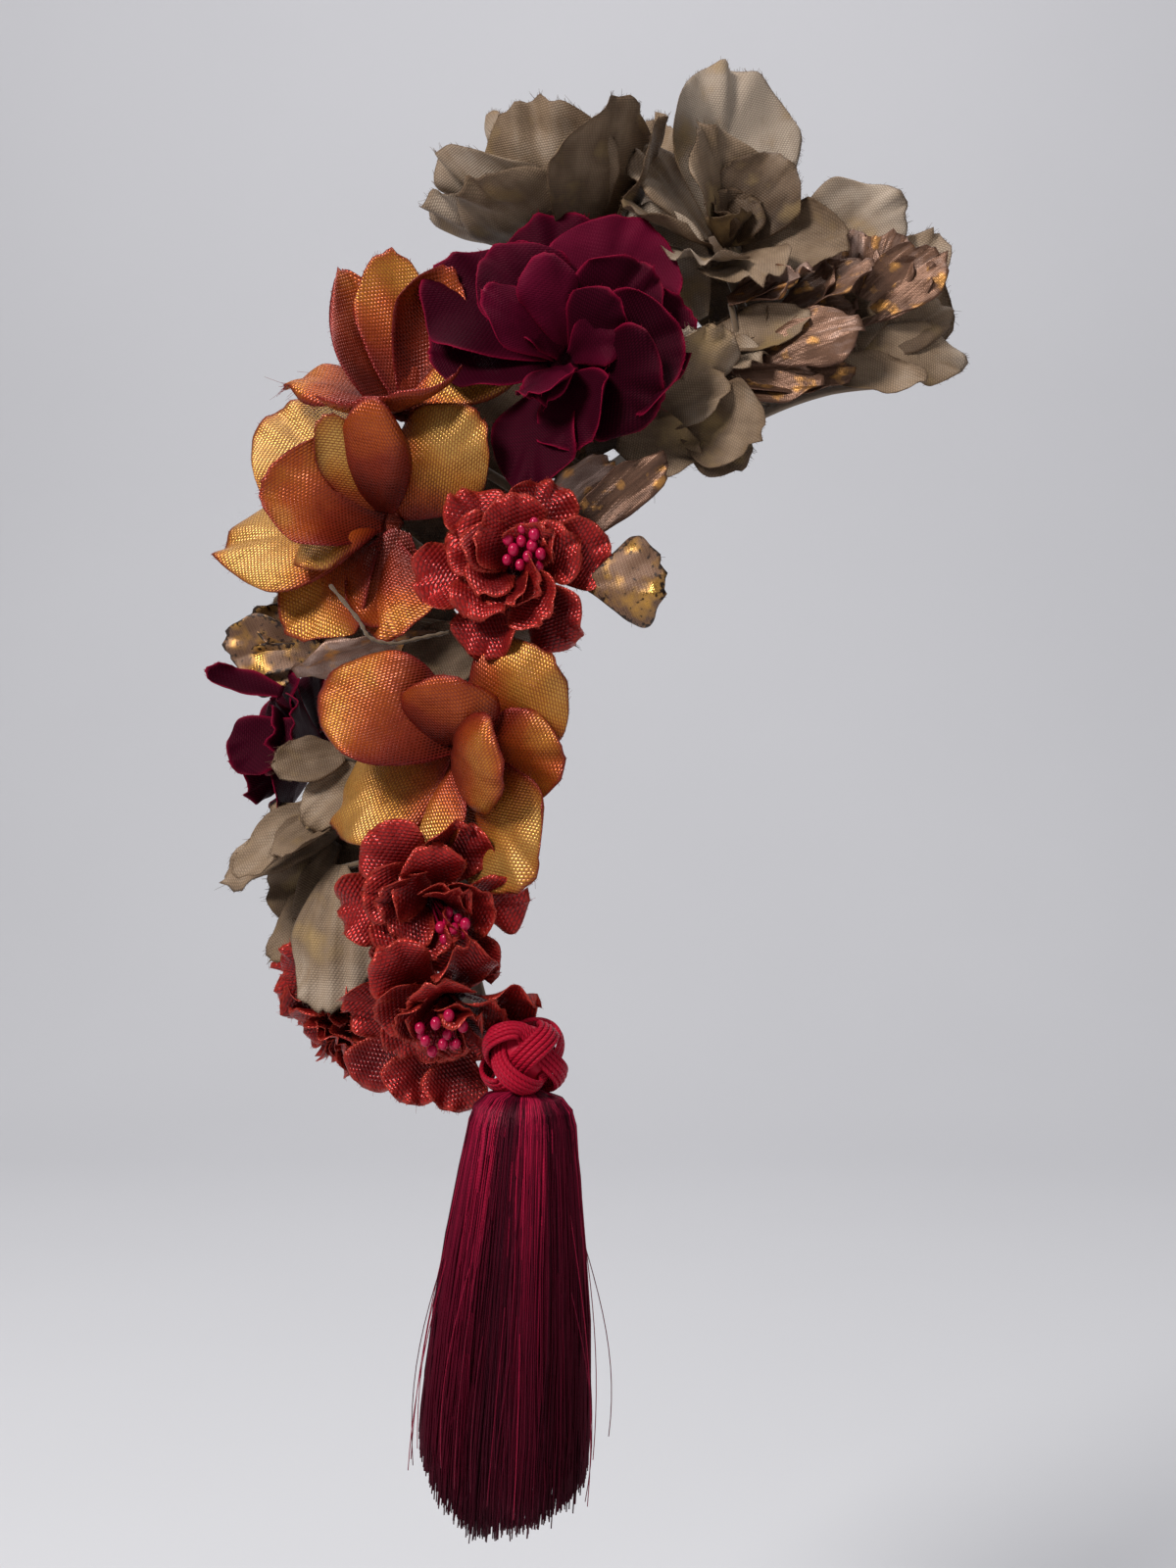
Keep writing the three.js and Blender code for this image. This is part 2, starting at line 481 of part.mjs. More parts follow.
// A leaf with its stalk: one strip from its foot on the band to its root, then the blade
function leafParts(leaf) {
  const root = vec(...leaf.root);
  const along = vec(...leaf.tip).sub(root);
  const long = along.length();
  const outward = along.normalize();
  const face = facing(leaf.turn, leaf.lift);
  face.addScaledVector(outward, -face.dot(outward)).normalize();
  const frame = new THREE.Matrix4().makeBasis(outward, face.clone().cross(outward), face).setPosition(root);
  const petal = { ...leaf, at: 0, long, from: 90 + leaf.arch / 2, to: 90 - leaf.arch / 2, frill: LEAF_FRILL };
  const foot = bandPoint(leaf.foot, BAND.thick + SEAT, leaf.side);
  const rows = leaf.rows || LEAF_ROWS;
  const stalkShare = 1 / rows;
  const blades = (margin) => {
    const surfaceOf = (shape) => (u, v) => {
      const blade = petalPoint(shape, Math.max(0, (u - stalkShare) / (1 - stalkShare)), v, margin).applyMatrix4(frame);
      return blade.addScaledVector(foot.clone().sub(root), Math.max(0, 1 - u / stalkShare));
    };
    return [wallSolid({ rows, columns: COLUMNS }, sampleOf(surfaceOf, petal), CLOTH + 2 * margin)];
  };
  return { name: leaf.name, finish: leaf.finish, frame, blades };
}

// The rear leaves lie over the backs of the flowers, like tiles along the band's rear edge
function rearLeaf({ at, reach, swing, lean }, k) {
  const root = bandPoint(at, REAR.root, REAR.side);
  const tip = bandPoint(at + swing, reach, REAR.side).add(vec(0, lean, 0));
  const shared = { wide: REAR.wide, turn: 180, lift: 0, arch: REAR.arch, cup: REAR.cup, shape: "full", rows: REAR_ROWS };
  return leafParts({ name: `taupe_leaf_rear_${k + 1}`, finish: "taupe", root: root.toArray(), tip: tip.toArray(), foot: at, side: REAR.side - 2, ...shared });
}

const join = (solids) => wasm.Manifold.union(solids);
const largest = (solid) => solid.decompose().reduce((a, b) => (b.volume() > a.volume() ? b : a));

// The cord knot: one flat bundle of cords that runs three times round a ball, over and under itself
function knotSolid() {
  const { radius, height, weave, wide, thick, bights, leads, steps } = KNOT;
  const at = (s) => {
    const level = Math.sin(bights * s);
    const out = radius * Math.sqrt(1 - 0.35 * level * level) + weave * Math.sin(2 * bights * s);
    return vec(out * Math.cos(leads * s), out * Math.sin(leads * s), height * level);
  };
  const sides = KNOT_SECTION.length;
  const mesh = { points: [], triangles: [] };
  for (let k = 0; k < steps; k++) {
    const s = (2 * Math.PI * k) / steps;
    const along = at(s + 0.01).sub(at(s - 0.01)).normalize();
    const outward = at(s).addScaledVector(along, -at(s).dot(along)).normalize();
    const across = along.clone().cross(outward);
    KNOT_SECTION.forEach(([x, y], j) => {
      mesh.points.push(at(s).addScaledVector(across, x * wide).addScaledVector(outward, y * thick));
      const next = (j + 1) % sides;
      const [a, b] = [k * sides + j, k * sides + next];
      const [c, d] = [((k + 1) % steps) * sides + next, ((k + 1) % steps) * sides + j];
      mesh.triangles.push(a, b, c, a, c, d);
    });
  }
  const ball = new THREE.SphereGeometry(radius - 0.5, 6, 4).rotateX(Math.PI / 2);
  const knot = join([solidOf(meshGeometry(mesh)), solidOf(ball)]).translate(KNOT.centre);
  return join([knot, knotCord(0)]);
}

// The cord that the knot hangs by, from its middle to the band
function knotCord(margin) {
  const line = [vec(...KNOT.centre), bandPoint(KNOT.foot, BAND.thick + SEAT, KNOT.side)];
  return barSolid(line, KNOT.cord + margin, STEM.sides);
}

// The room kept clear round the knot and its cord
function knotRoom() {
  const reach = KNOT.radius + KNOT.weave + KNOT.thick;
  const ball = new THREE.SphereGeometry(reach, 12, 8).translate(...KNOT.centre);
  return join([solidOf(ball), knotCord(GAP)]);
}

// One tapering lock of thread: rings of points down a curve that swings out from the head of the skirt
function lockSolid(lock, turn) {
  const { topRadius, endRadius, top, lockRadius, sides, rings } = SKIRT;
  const ring = (u) => {
    const out = topRadius + (endRadius - topRadius) * Math.sin((u * Math.PI) / 2) + lock.stray * u * u;
    const level = (lock.end - top) * u;
    const half = lockRadius * (0.55 + 0.5 * u - 0.5 * u ** 4);
    return Array.from({ length: sides }, (_, j) => {
      const a = (2 * Math.PI * j) / sides;
      const point = vec(out - half * (1 - Math.cos(a)), -half * Math.sin(a), level);
      return point.applyAxisAngle(vec(0, 0, 1), turn);
    });
  };
  return tubeSolid(Array.from({ length: rings }, (_, k) => ring(k / (rings - 1))));
}

// The skirt: a core under the knot, and the locks fused to it
function skirtSolid() {
  const { topRadius, endRadius, top } = SKIRT;
  const shortest = Math.max(...LOCKS.map((lock) => lock.end)) - top;
  const profile = [[0, shortest + 8], [endRadius - 5, shortest + 8], [topRadius - 2, -6], [topRadius - 4, 1.5], [0, 1.5]];
  const core = new THREE.LatheGeometry(profile.map(([r, z]) => new THREE.Vector2(r, z)), LOCKS.length).rotateX(Math.PI / 2);
  const strands = LOCKS.map((lock, k) => lockSolid(lock, (2 * Math.PI * k) / LOCKS.length));
  return join([solidOf(core), ...strands]);
}

const band = { name: "base_band", finish: "felt", frame: new THREE.Matrix4(), solid: bandSolid(), room: bandSolid(GAP) };
const knotFrame = new THREE.Matrix4().setPosition(vec(...KNOT.centre));
const knot = { name: "tassel_knot", finish: "silk", frame: knotFrame, solid: knotSolid().subtract(band.room), room: knotRoom() };
const growths = [...FLOWERS.map(flowerParts), ...LEAVES.map(leafParts), ...REAR_LEAVES.map(rearLeaf)];
for (const growth of growths) {
  growth.cores = growth.core ? growth.core(0).map((bar) => bar.subtract(band.room)) : [];
  growth.coreRooms = growth.core ? growth.core(GAP) : [];
}

// Each flower and leaf gives way to every other flower's stem, and to the pieces before it in the tables
const pieces = [band, knot];
for (const growth of growths) {
  const otherCores = join(growths.filter((other) => other !== growth).flatMap((other) => other.coreRooms));
  const petals = join(growth.blades(0)).subtract(otherCores);
  const room = join([join(growth.blades(GAP)).subtract(otherCores), ...growth.coreRooms]);
  let solid = join([petals, ...growth.cores]);
  for (const piece of pieces) solid = solid.subtract(piece.room);
  pieces.push({ ...growth, solid: largest(solid), room });
}

const skirtFrame = new THREE.Matrix4().makeRotationY(rad(SKIRT.lean)).setPosition(KNOT.centre[0], KNOT.centre[1], SKIRT.top);
pieces.push({ name: "tassel_skirt", finish: "silk", frame: skirtFrame, own: skirtSolid() });

const headpiece = new THREE.Group();
for (const piece of pieces) {
  const geometry = piece.own ? geometryOf(piece.own) : geometryOf(piece.solid).applyMatrix4(piece.frame.clone().invert());
  const mesh = new THREE.Mesh(geometry, new THREE.MeshStandardMaterial(FINISHES[piece.finish]));
  mesh.name = piece.name;
  mesh.applyMatrix4(piece.frame);
  headpiece.add(mesh);
}

export default headpiece;
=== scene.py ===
# Flower headpiece: fabric flowers and leaves on a felt band, with a cord knot and a thread tassel.
# The shapes repeat the part's own sizes in millimetres, and the meshes are written in metres.
import math
import zlib

import bpy
import numpy as np
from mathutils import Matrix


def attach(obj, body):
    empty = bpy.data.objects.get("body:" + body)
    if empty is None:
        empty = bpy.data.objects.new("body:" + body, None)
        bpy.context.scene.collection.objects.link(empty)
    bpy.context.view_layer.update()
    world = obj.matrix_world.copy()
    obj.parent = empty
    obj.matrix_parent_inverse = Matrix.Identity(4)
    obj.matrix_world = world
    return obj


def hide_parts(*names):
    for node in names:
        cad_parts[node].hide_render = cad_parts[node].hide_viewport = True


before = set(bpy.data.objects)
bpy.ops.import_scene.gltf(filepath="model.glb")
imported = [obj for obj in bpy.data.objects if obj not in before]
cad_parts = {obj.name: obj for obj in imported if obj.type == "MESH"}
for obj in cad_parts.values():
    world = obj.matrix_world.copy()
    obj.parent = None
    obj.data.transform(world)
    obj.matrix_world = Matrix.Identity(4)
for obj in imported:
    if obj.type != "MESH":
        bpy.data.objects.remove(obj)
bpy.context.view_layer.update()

MM = 0.001

# Sizes shared with the part
HEAD = {"length": 117, "width": 77, "height": 118, "ahead": 22}
HEAD_MIDDLE = HEAD["height"] * math.sqrt(1 - (HEAD["ahead"] / HEAD["width"]) ** 2)
BAND_THICK = 2.0
ROOT_WIDTH = 3.2
ROLL = 20
ROOT_PITCH = 4.4
SINGLE_ROOT = -0.5
WHORL_RISE = 1.8
NECK = 3
STEM_RADIUS = 1.3
FRILL_WAVES = 7
LEAF_FRILL = 0.8
SEAT = 0.35

# Outlines of a flat petal: half width at the tip, flare from the root, rounding of the tip
OUTLINES = {
    "round": {"tip": 0.75, "flare": 0.9, "round": 0.3},
    "broad": {"tip": 0.85, "flare": 0.8, "round": 0.24},
    "full": {"tip": 0.72, "flare": 1.9, "round": 0.32},
    "long": {"tip": 0.6, "flare": 1.5, "round": 0.3},
    "point": {"tip": 0.1, "flare": 1.9, "round": 0.05},
    "strip": {"tip": 0.6, "flare": 1.2, "round": 0.2},
}

# Sections of the band: angle round the head, middle across it, width
BAND_SECTIONS = [
    (87, 6, 14),
    (97, 6, 20),
    (112, 1, 26),
    (150, 0, 30),
    (185, 0, 28),
    (210, 1, 12),
]

# Flowers, each named by its finish first: name, centre, turn, lift, foot on the band, side across it
FLOWERS = [
    ("wine_flower", (-80, -15, 3), 8, 12, 122, -8),
    ("amber_flower_lower", (-106, -24, -91), 24, 0, 166, -9),
    ("amber_flower_middle", (-125, -13, -36), 22, 6, 150, -1),
    ("red_flower_1", (-92, -29, -49), 10, 6, 145, -11),
    ("amber_flower_upper", (-119, -9, -9), 8, 38, 136, 2),
    ("red_flower_2", (-112, -23, -129), 10, -16, 185, -9),
    ("red_flower_3", (-110, -22, -152), 6, -46, 197, -6),
    ("taupe_flower_left", (-78, 12, 34), 0, 86, 117, 6),
    ("taupe_flower_right", (-40, 4, 37), -10, 34, 104, 0),
    ("wine_flower_rear", (-146, 24, -90), 80, 12, 170, 9),
    ("red_flower_4", (-138, 14, -158), 62, -38, 192, 6),
]

# Whorls: from, to, cup, frill, outline, then petals as direction, length, width, tone of the cloth
RED_WHORLS = [
    (66, 98, 30, 1.6, "broad", [
        (10, 20, 19, 0.3), (70, 19, 18, 0.5), (130, 20, 19, 0.35),
        (190, 21, 19, 0.2), (250, 20, 19, 0.4), (310, 20, 19, 0.6)]),
    (24, 62, 40, 1.4, "broad", [(40, 15, 13, 0.5), (160, 15, 13, 0.7), (280, 14, 13, 0.6)]),
]
WHORLS = {
    "wine_flower": [
        (72, 100, 18, 1.2, "full", [
            (142, 38, 36, 0.5), (100, 36, 33, 0.5), (66, 37, 34, 0.1),
            (174, 31, 28, 0.6), (22, 29, 28, 0.55), (-110, 32, 24, 0.6)]),
        (56, 86, 24, 1.2, "full", [
            (122, 31, 26, 0.4), (40, 28, 26, 0.5), (2, 28, 32, 0.9),
            (-34, 27, 30, 0.95), (-74, 23, 24, 0.7)]),
        (22, 60, -30, 0, "round", [
            (152, 27, 20, 0.15), (95, 26, 17, 0.1), (38, 22, 18, 0.8), (-110, 19, 16, 0.3)]),
    ],
    "amber_flower_lower": [
        (66, 102, -28, 0.8, "full", [
            (208, 38, 36, 0.3), (250, 32, 28, 0.4), (-54, 36, 33, 0.4),
            (-8, 26, 25, 0.65), (34, 31, 31, 0.5)]),
        (50, 74, 45, 0.8, "full", [(150, 37, 32, 0.7)]),
        (30, 78, -35, 0, "full", [(-30, 28, 28, 0.65), (75, 22, 26, 0.75)]),
    ],
    "amber_flower_middle": [
        (64, 98, -24, 0.8, "full", [
            (138, 41, 36, 0.35), (188, 41, 36, 0.25), (228, 34, 27, 0.55),
            (-84, 28, 22, 0.7), (38, 34, 27, 0.35)]),
        (30, 62, 35, 0.8, "full", [(160, 33, 30, 0.75)]),
        (24, 62, -35, 0, "long", [(212, 24, 16, 0.35), (100, 30, 16, 0.25), (62, 34, 18, 0.8)]),
    ],
    "amber_flower_upper": [
        (66, 46, 30, 0, "point", [(114, 43, 29, 0.85)]),
        (62, 48, 30, 0, "full", [(90, 42, 22, 0.62), (64, 38, 20, 0.9)]),
        (70, 84, 20, 0.8, "strip", [(166, 33, 20, 0.7), (20, 33, 17, 0.15)]),
        (68, 30, 25, 0.6, "full", [(262, 22, 38, 0.58)]),
    ],
    "taupe_flower_left": [
        (50, 10, 24, 1.6, "full", [
            (140, 51, 38, 0.25), (92, 54, 40, 0.15), (44, 49, 33, 0.5),
            (240, 44, 40, 0.5), (292, 45, 40, 0.65), (340, 43, 32, 0.6)]),
        (70, 44, 30, 1.4, "full", [(206, 46, 36, 0.25)]),
        (82, 62, 30, 1.4, "full", [(186, 42, 34, 0.3), (228, 40, 32, 0.55)]),
    ],
    "taupe_flower_right": [
        (56, 64, 25, 1.4, "full", [
            (94, 46, 42, 0.1), (150, 30, 26, 0.5), (196, 28, 28, 0.65),
            (240, 24, 26, 0.3), (282, 26, 24, 0.5), (340, 30, 22, 0.6)]),
        (30, 44, 35, 1.2, "full", [(124, 30, 26, 0.6), (46, 26, 24, 0.85)]),
    ],
    "wine_flower_rear": [
        (58, 88, 22, 1.0, "round", [
            (120, 26, 19, 0.5), (190, 22, 20, 0.6), (250, 24, 21, 0.7),
            (320, 22, 20, 0.6), (50, 22, 20, 0.5)]),
    ],
    "red_flower_1": RED_WHORLS,
    "red_flower_2": RED_WHORLS,
    "red_flower_3": RED_WHORLS,
    "red_flower_4": RED_WHORLS,
}

# Leaves, each named by its finish first: name, root, tip, width, turn, lift, arch, cup, outline, foot,
# side, tone
LEAVES = [
    ("gilded_leaf_right", (-75, -34, -53), (-56, -39, -52), 25, -4, 0, -50, -50, "broad", 140, -12, 0.4),
    ("gilded_leaf_left", (-142, 9, -67), (-170, 14, -63), 18, 20, -10, 20, 45, "broad", 159, 4, 0.8),
    ("copper_leaf_1", (-10, -6, 14), (12, -8, 35), 18, -10, 20, 20, 30, "broad", 92, -2, 0.6),
    ("copper_leaf_2", (-40, -9, 20), (-20, -14, 29), 13, 10, 50, 20, 35, "long", 107, -6, 0.2),
    ("copper_leaf_3", (-26, -8, 18), (-4, -11, 30), 16, 10, 40, 15, 35, "long", 100, -3, 0.65),
    ("copper_leaf_4", (-32, -13, 6), (-8, -19, 15), 17, 0, 25, -25, -30, "long", 104, -5, 0.55),
    ("copper_leaf_5", (-41, -13, 1), (-8, -12, 1), 13, 0, 30, 12, 24, "long", 114, -5, 0.7),
    ("taupe_leaf_end_upper", (-23, 6, 33), (6, 8, 52), 27, -8, 14, 10, 25, "full", 98, 2, 0.25),
    ("taupe_leaf_end_middle", (1, 8, 17), (17, 12, 42), 17, -20, 10, 10, 30, "full", 90, 4, 0.45),
    ("taupe_leaf_end_lower", (-9, -5, 9), (22, -2, 8), 16, -10, 16, -15, 20, "full", 94, -1, 0.45),
    ("taupe_leaf_inner_1", (-47, -8, 9), (-20, -16, 16), 15, 0, 30, 15, 30, "long", 110, -6, 0.5),
    ("taupe_leaf_inner_2", (-49, -14, -2), (-43, -22, 12), 16, -10, 0, -20, -20, "full", 113, -10, 0.3),
    ("taupe_leaf_inner_3", (-30, 2, 12), (2, -1, 22), 24, -5, 20, 10, 20, "full", 101, 3, 0.75),
    ("taupe_leaf_head", (-53, -15, -10), (-32, -23, -16), 24, -10, 5, 25, 30, "full", 119, -4, 0.6),
    ("copper_ribbon", (-85, -20, -38), (-69, -24, -20), 10, -50, 10, 80, 0, "strip", 140, -5, 0.0),
    ("copper_twig_leaf", (-80, -27, -42), (-57, -28, -20), 12, -6, 6, 16, 30, "strip", 143, -8, 0.8),
    ("taupe_leaf_under_red", (-98, -21, -65), (-78, -31, -66), 10, 0, 40, -15, 15, "long", 156, -11, 0.35),
    ("copper_leaf_side", (-112, -14, -64), (-148, -12, -74), 14, 10, -55, 12, 20, "long", 160, -4, 0.1),
    ("taupe_leaf_side_1", (-137, -1, -93), (-155, -4, -97), 13, 30, 10, 20, 30, "full", 173, -1, 0.6),
    ("taupe_leaf_side_2", (-138, 2, -107), (-166, 0, -122), 17, 20, 40, -10, 25, "long", 177, 0, 0.45),
    ("taupe_leaf_side_3", (-139, 13, -112), (-171, 18, -127), 15, 40, 30, -10, 25, "full", 180, 6, 0.6),
    ("taupe_leaf_side_4", (-138, -2, -121), (-141, -8, -158), 25, 24, -6, -15, -25, "full", 182, -2, 0.4),
    ("taupe_leaf_side_5", (-140, 11, -124), (-159, 14, -146), 15, 40, 10, 10, 25, "full", 185, 4, 0.6),
]

# Leaves that finish the back: angle on the band, reach, swing, lean
REAR_LEAVES = [
    (90, 36, -4, 17),
    (103, 54, 0, 17),
    (116, 20, 3, 17),
    (129, 54, 5, 17),
    (142, 58, 4, 17),
    (154, 54, 4, 17),
    (184, 46, 2, 17),
    (202, 34, 4, 17),
    (97, 44, -3, 30),
    (123, 38, 6, 30),
    (135, 48, 5, 30),
    (148, 48, 5, 30),
    (193, 32, 3, 30),
]
REAR = {"wide": 34, "root": 5, "side": 11, "arch": -20, "cup": 22}

# Tassel
KNOT = {"centre": (-90.5, -30, -166), "radius": 8.2, "height": 7, "weave": 1.9, "bights": 4, "leads": 3}
KNOT_CORD = {
    "count": 5, "radius": 0.62, "pitch": 1.16, "steps": 260, "sides": 8, "crown": 0.35, "fall": 0.09,
}
HANGER = {"radius": 1.6, "foot": 205, "side": -3}
SKIRT = {"top": -177, "top_radius": 12, "end_radius": 20.5, "lean": 3.2}
LOCK_ENDS = (-270, -275, -278, -271, -265, -266, -273, -282, -280, -275)
# Threads: short is how much sooner they end than the solid's locks, fall how far they darken to their ends, a
# painted shade over the tassel's lower part
STRANDS = {
    "count": 2600, "radius": 0.24, "taper": 0.75, "inner": 500, "fall": 0.8, "short": 7.3, "uneven": 1.3,
    "clumps": 14, "gather": 0.3, "shoulder": 0.05, "crest": 3.2, "neck": 0.28,
    "stations": (0, 0.012, 0.03, 0.06, 0.2, 0.4, 0.6, 0.8, 0.92, 1),
}
# Core inside the skirt; its low tone is painted shade between the threads
CORE = {
    "rows": 11, "columns": 24, "share": 0.8, "top": 0.6, "short": 6, "ridge": 0.05, "ridges": 12, "tone": 0.1,
}
STRAYS = {
    "count": 26, "radius": 0.11, "points": 12, "end_level": -274, "start": (0.25, 0.6), "end": (0.8, 0.97),
    "reach": (1.5, 6.0), "arc": (0.5, 0.95), "drift": (-0.25, 0.25), "tone": (0.4, 0.8),
}

# Cloth of each finish. root_tint_and_shade: how much darker the root is than the tip, partly the cloth's own
# colour and partly painted shade where the roots gather; back: how much darker the back is; thick: its
# thickness; ripple,
# waves: extra edge waves; crumple, size: height and length of its creases; roll: how far the edge turns back;
# twist:
# degrees that a petal turns along its length; ragged: unevenness of the cut edge; fray: loose threads per
# millimetre of edge; hair: length of a thread; pleat, pleats: height and number of folds along a petal; sway:
# how far it warps;
# bow: how far its tip swings aside; slant: angle of the weave to the petal
CLOTH_COLUMNS = (
    "root_tint_and_shade", "back", "thick", "ripple", "waves", "crumple", "size", "roll", "twist",
    "ragged", "fray", "hair", "pleat", "pleats", "sway", "bow", "slant")
CLOTH_ROWS = {
    "wine": (0.0, 0.1, 0.35, 0.8, 7, 0.35, 16, 1.8, 12, 0.012, 1.2, 0.35, 0.0, 1, 1.2, 0.06, 0.6),
    "amber": (0.85, 0.3, 0.38, 0.5, 4, 0.45, 16, 2.6, 16, 0.010, 1.0, 0.45, 0.8, 1, 2.1, 0.07, 0.8),
    "red": (0.45, 0.15, 0.34, 0.9, 5, 0.35, 8, 1.1, 16, 0.012, 1.4, 0.45, 0.15, 2, 0.8, 0.05, 0.7),
    "taupe": (0.3, 0.08, 0.3, 0.8, 8, 0.65, 13, 1.6, 10, 0.015, 1.6, 0.75, 0.16, 4, 1.2, 0.06, 0.0),
    "copper": (0.5, 0.2, 0.34, 0.8, 9, 0.6, 7, 0.9, 14, 0.03, 0.5, 0.6, 0.45, 2, 1.0, 0.08, 0.0),
    "gilded": (0.2, 0.1, 0.6, 0.5, 9, 0.5, 7, 0.5, 5, 0.025, 0.2, 0.5, 0.2, 2, 0.5, 0.0, 0.5),
}
CLOTHS = {finish: dict(zip(CLOTH_COLUMNS, row)) for finish, row in CLOTH_ROWS.items()}
# Which of a piece's materials its stalks and stitches have
STALK = 1

# Grid of a petal: points per millimetre, limits along it and across it, how far columns crowd to the edges
PETAL_GRID = {"pitch": 0.9, "along": (14, 40), "across": (10, 34), "crowd": 0.35}
# Waves that add up to a crease: how many, shortest and longest of them, what their sum is divided by
FOLDS = {"waves": 7, "shortest": 0.55, "longest": 1.7, "damp": 3.0}
SWAY_SIZE = 45
RIB = {"depth": 0.35, "width": 1.1}
# Cut edge: how wide its colour is, how much of it the root has, how much thinner the rim is
EDGE_BAND = 1.3
ROOT_EDGE = 0.3
RIM_THINNING = 0.55
# Where along a petal its darker root, partly painted shade, gives way and leaves the tone as it is
ROOT_TINT_AND_SHADE_MIDDLE = 0.45
# Loose threads: where they start and end on a petal's sides, how deep they root, how far they stray
FRAY = {"start": 0.4, "end": 0.6, "root": 0.25, "spread": 0.35, "radius": 0.055, "taper": 0.6}
# Gathered middle of a flower
HUB = {
    "rows": 9, "columns": 20, "past": 0.7, "pleat": 0.08, "pleats": 7, "dome": 1.2, "cup": 3.4,
    "least": 1.5, "tone": 0.95, "weave": 4,
}
# Running stitches: distance from the band's edge, how far they stand out, radii, steps from one to the next
STITCH = {"inset": 2.2, "proud": 0.05, "radii": (0.14, 0.26, 0.14), "every": 2}

# Small ruffles that fill some flowers between their whorls: from, to, length, width, count, height, tone
RED_RUFFLES = [(44, 80, 17, 17, 5, 0.9, 0.3), (22, 60, 13, 14, 4, 1.9, 0.5)]
RUFFLES = {
    "red_flower_1": RED_RUFFLES,
    "red_flower_2": RED_RUFFLES,
    "red_flower_3": RED_RUFFLES,
    "red_flower_4": RED_RUFFLES,
    "taupe_flower_left": [(34, -6, 36, 30, 5, 2.0, 0.5), (14, -14, 26, 22, 3, 4.0, 0.65)],
    "taupe_flower_right": [(14, 24, 13, 13, 4, 2.0, 0.85)],
    "wine_flower": [(34, 70, 17, 15, 3, 3.6, 0.45)],
    "wine_flower_rear": [(40, 74, 21, 19, 5, 2.0, 0.55), (14, 44, 15, 14, 3, 3.0, 0.75)],
}
# What all ruffles share: cup, frill, how tightly they are gathered, turn from row to row, first direction
RUFFLE = {"cup": 35, "frill": 1.0, "gather": 0.6, "step": 0.3, "start": 17}
# Small leaves that fill the room beside a main one: how many
OFFCUTS = {
    "copper_leaf_1": 3,
    "copper_leaf_2": 3,
    "copper_leaf_3": 3,
    "copper_leaf_4": 1,
    "copper_leaf_5": 1,
    "taupe_leaf_inner_1": 3,
    "taupe_leaf_inner_2": 3,
    "taupe_leaf_inner_3": 2,
    "taupe_leaf_head": 2,
    "taupe_leaf_end_lower": 1,
    "taupe_leaf_under_red": 2,
    "taupe_leaf_side_2": 2,
    "taupe_leaf_side_3": 2,
    "taupe_leaf_side_5": 1,
    "gilded_leaf_left": 2,
}
# Limits of the draws for these small leaves
OFFCUT = {"swing": (16, 42), "tilt": (-16, 16), "size": (0.6, 0.9), "tone": (-0.25, 0.3)}
OFFCUT_SHIFT = ((0, -2, -3.0), (4, 2, -0.8))
# Leaves with deeper folds along them than the rest of their cloth
PLEATED = {
    "taupe_leaf_side_1": 0.4,
    "taupe_leaf_side_2": 0.5,
    "taupe_leaf_side_3": 0.5,
    "taupe_leaf_side_4": 0.75,
}
# Small petals that close gaps in the clusters: piece that they grow with, root, tip, width, turn, lift, tone
FILLERS = [
    ("taupe_leaf_inner_1", (-47, -7, 16), (-62, -4, 46), 22, 0, 20, 0.15),
    ("taupe_leaf_head", (-60, -12, -9), (-40, -20, -3), 17, 0, 15, 0.45),
    ("taupe_leaf_head", (-68, -15, -16), (-47, -19, -19), 16, -10, 10, 0.6),
    ("copper_leaf_5", (-46, -13, -1), (-17, -15, 2), 12, 0, 20, 0.6),
    ("taupe_leaf_end_lower", (-20, -9, 4), (10, -10, 1), 12, 0, 20, 0.5),
    ("taupe_leaf_under_red", (-99, -15, -64), (-122, -16, -73), 18, 10, 10, 0.6),
    ("taupe_leaf_side_1", (-129, -1, -95), (-147, -3, -111), 17, 20, 10, 0.5),
    ("amber_flower_middle", (-121, -17, -38), (-130, -17, -62), 20, 10, 10, 0.8),
    ("red_flower_3", (-106, -15, -165), (-109, -19, -181), 18, 0, -20, 0.5),
    ("red_flower_3", (-114, -12, -164), (-120, -15, -180), 18, 10, -20, 0.4),
    ("red_flower_4", (-124, -6, -162), (-131, -8, -177), 18, 20, -20, 0.6),
    ("wine_flower_rear", (-154, 9, -77), (-174, 8, -71), 8, 30, 40, 0.7),
    ("wine_flower_rear", (-150, 8, -85), (-168, 7, -94), 17, 30, 10, 0.6),
]
# What all of these share: a nearly flat bend, set straight on their own place
FILLER = {"from": 96, "to": 84, "at": 0, "raise": 0}
# Petals with a long fringe: how many times longer its threads are
FRINGES = {"amber_flower_upper2.0": 6}
# A loose strand that curls off a flower's lower petals
LOOSE_STRAND = {
    "flower": "amber_flower_middle", "radius": 0.45, "uneven": 0.3,
    "points": [
        (-138, -22, -52), (-131, -24, -60.5), (-128, -25, -65),
        (-122.5, -25, -66.5), (-115.5, -24, -65), (-109, -22, -63.5)],
}

# Stamens: direction that they lean to in the flower's face, spread, height, count
STAMENS = {
    "red_flower_1": {"lean": (4.5, 3.5), "spread": 6.0, "height": 11, "count": 13},
    "red_flower_2": {"lean": (6.0, -3.0), "spread": 4.0, "height": 11, "count": 9},
    "red_flower_3": {"lean": (1.0, 2.0), "spread": 6.5, "height": 15, "count": 13},
}
BEAD = {"radius": 1.25, "thread": 0.28, "tall": 1.2}
BEAD_TURN = 2.4
BALL = {"rows": 9, "columns": 12}

# Stage, lights and camera, in metres
STAGE = {"half_width": 5.0, "near": -6.0, "back": 2.1, "floor": -0.42, "top": 2.4, "corner": 0.8}
MIDDLE = (-0.075, 0.0, -0.1)
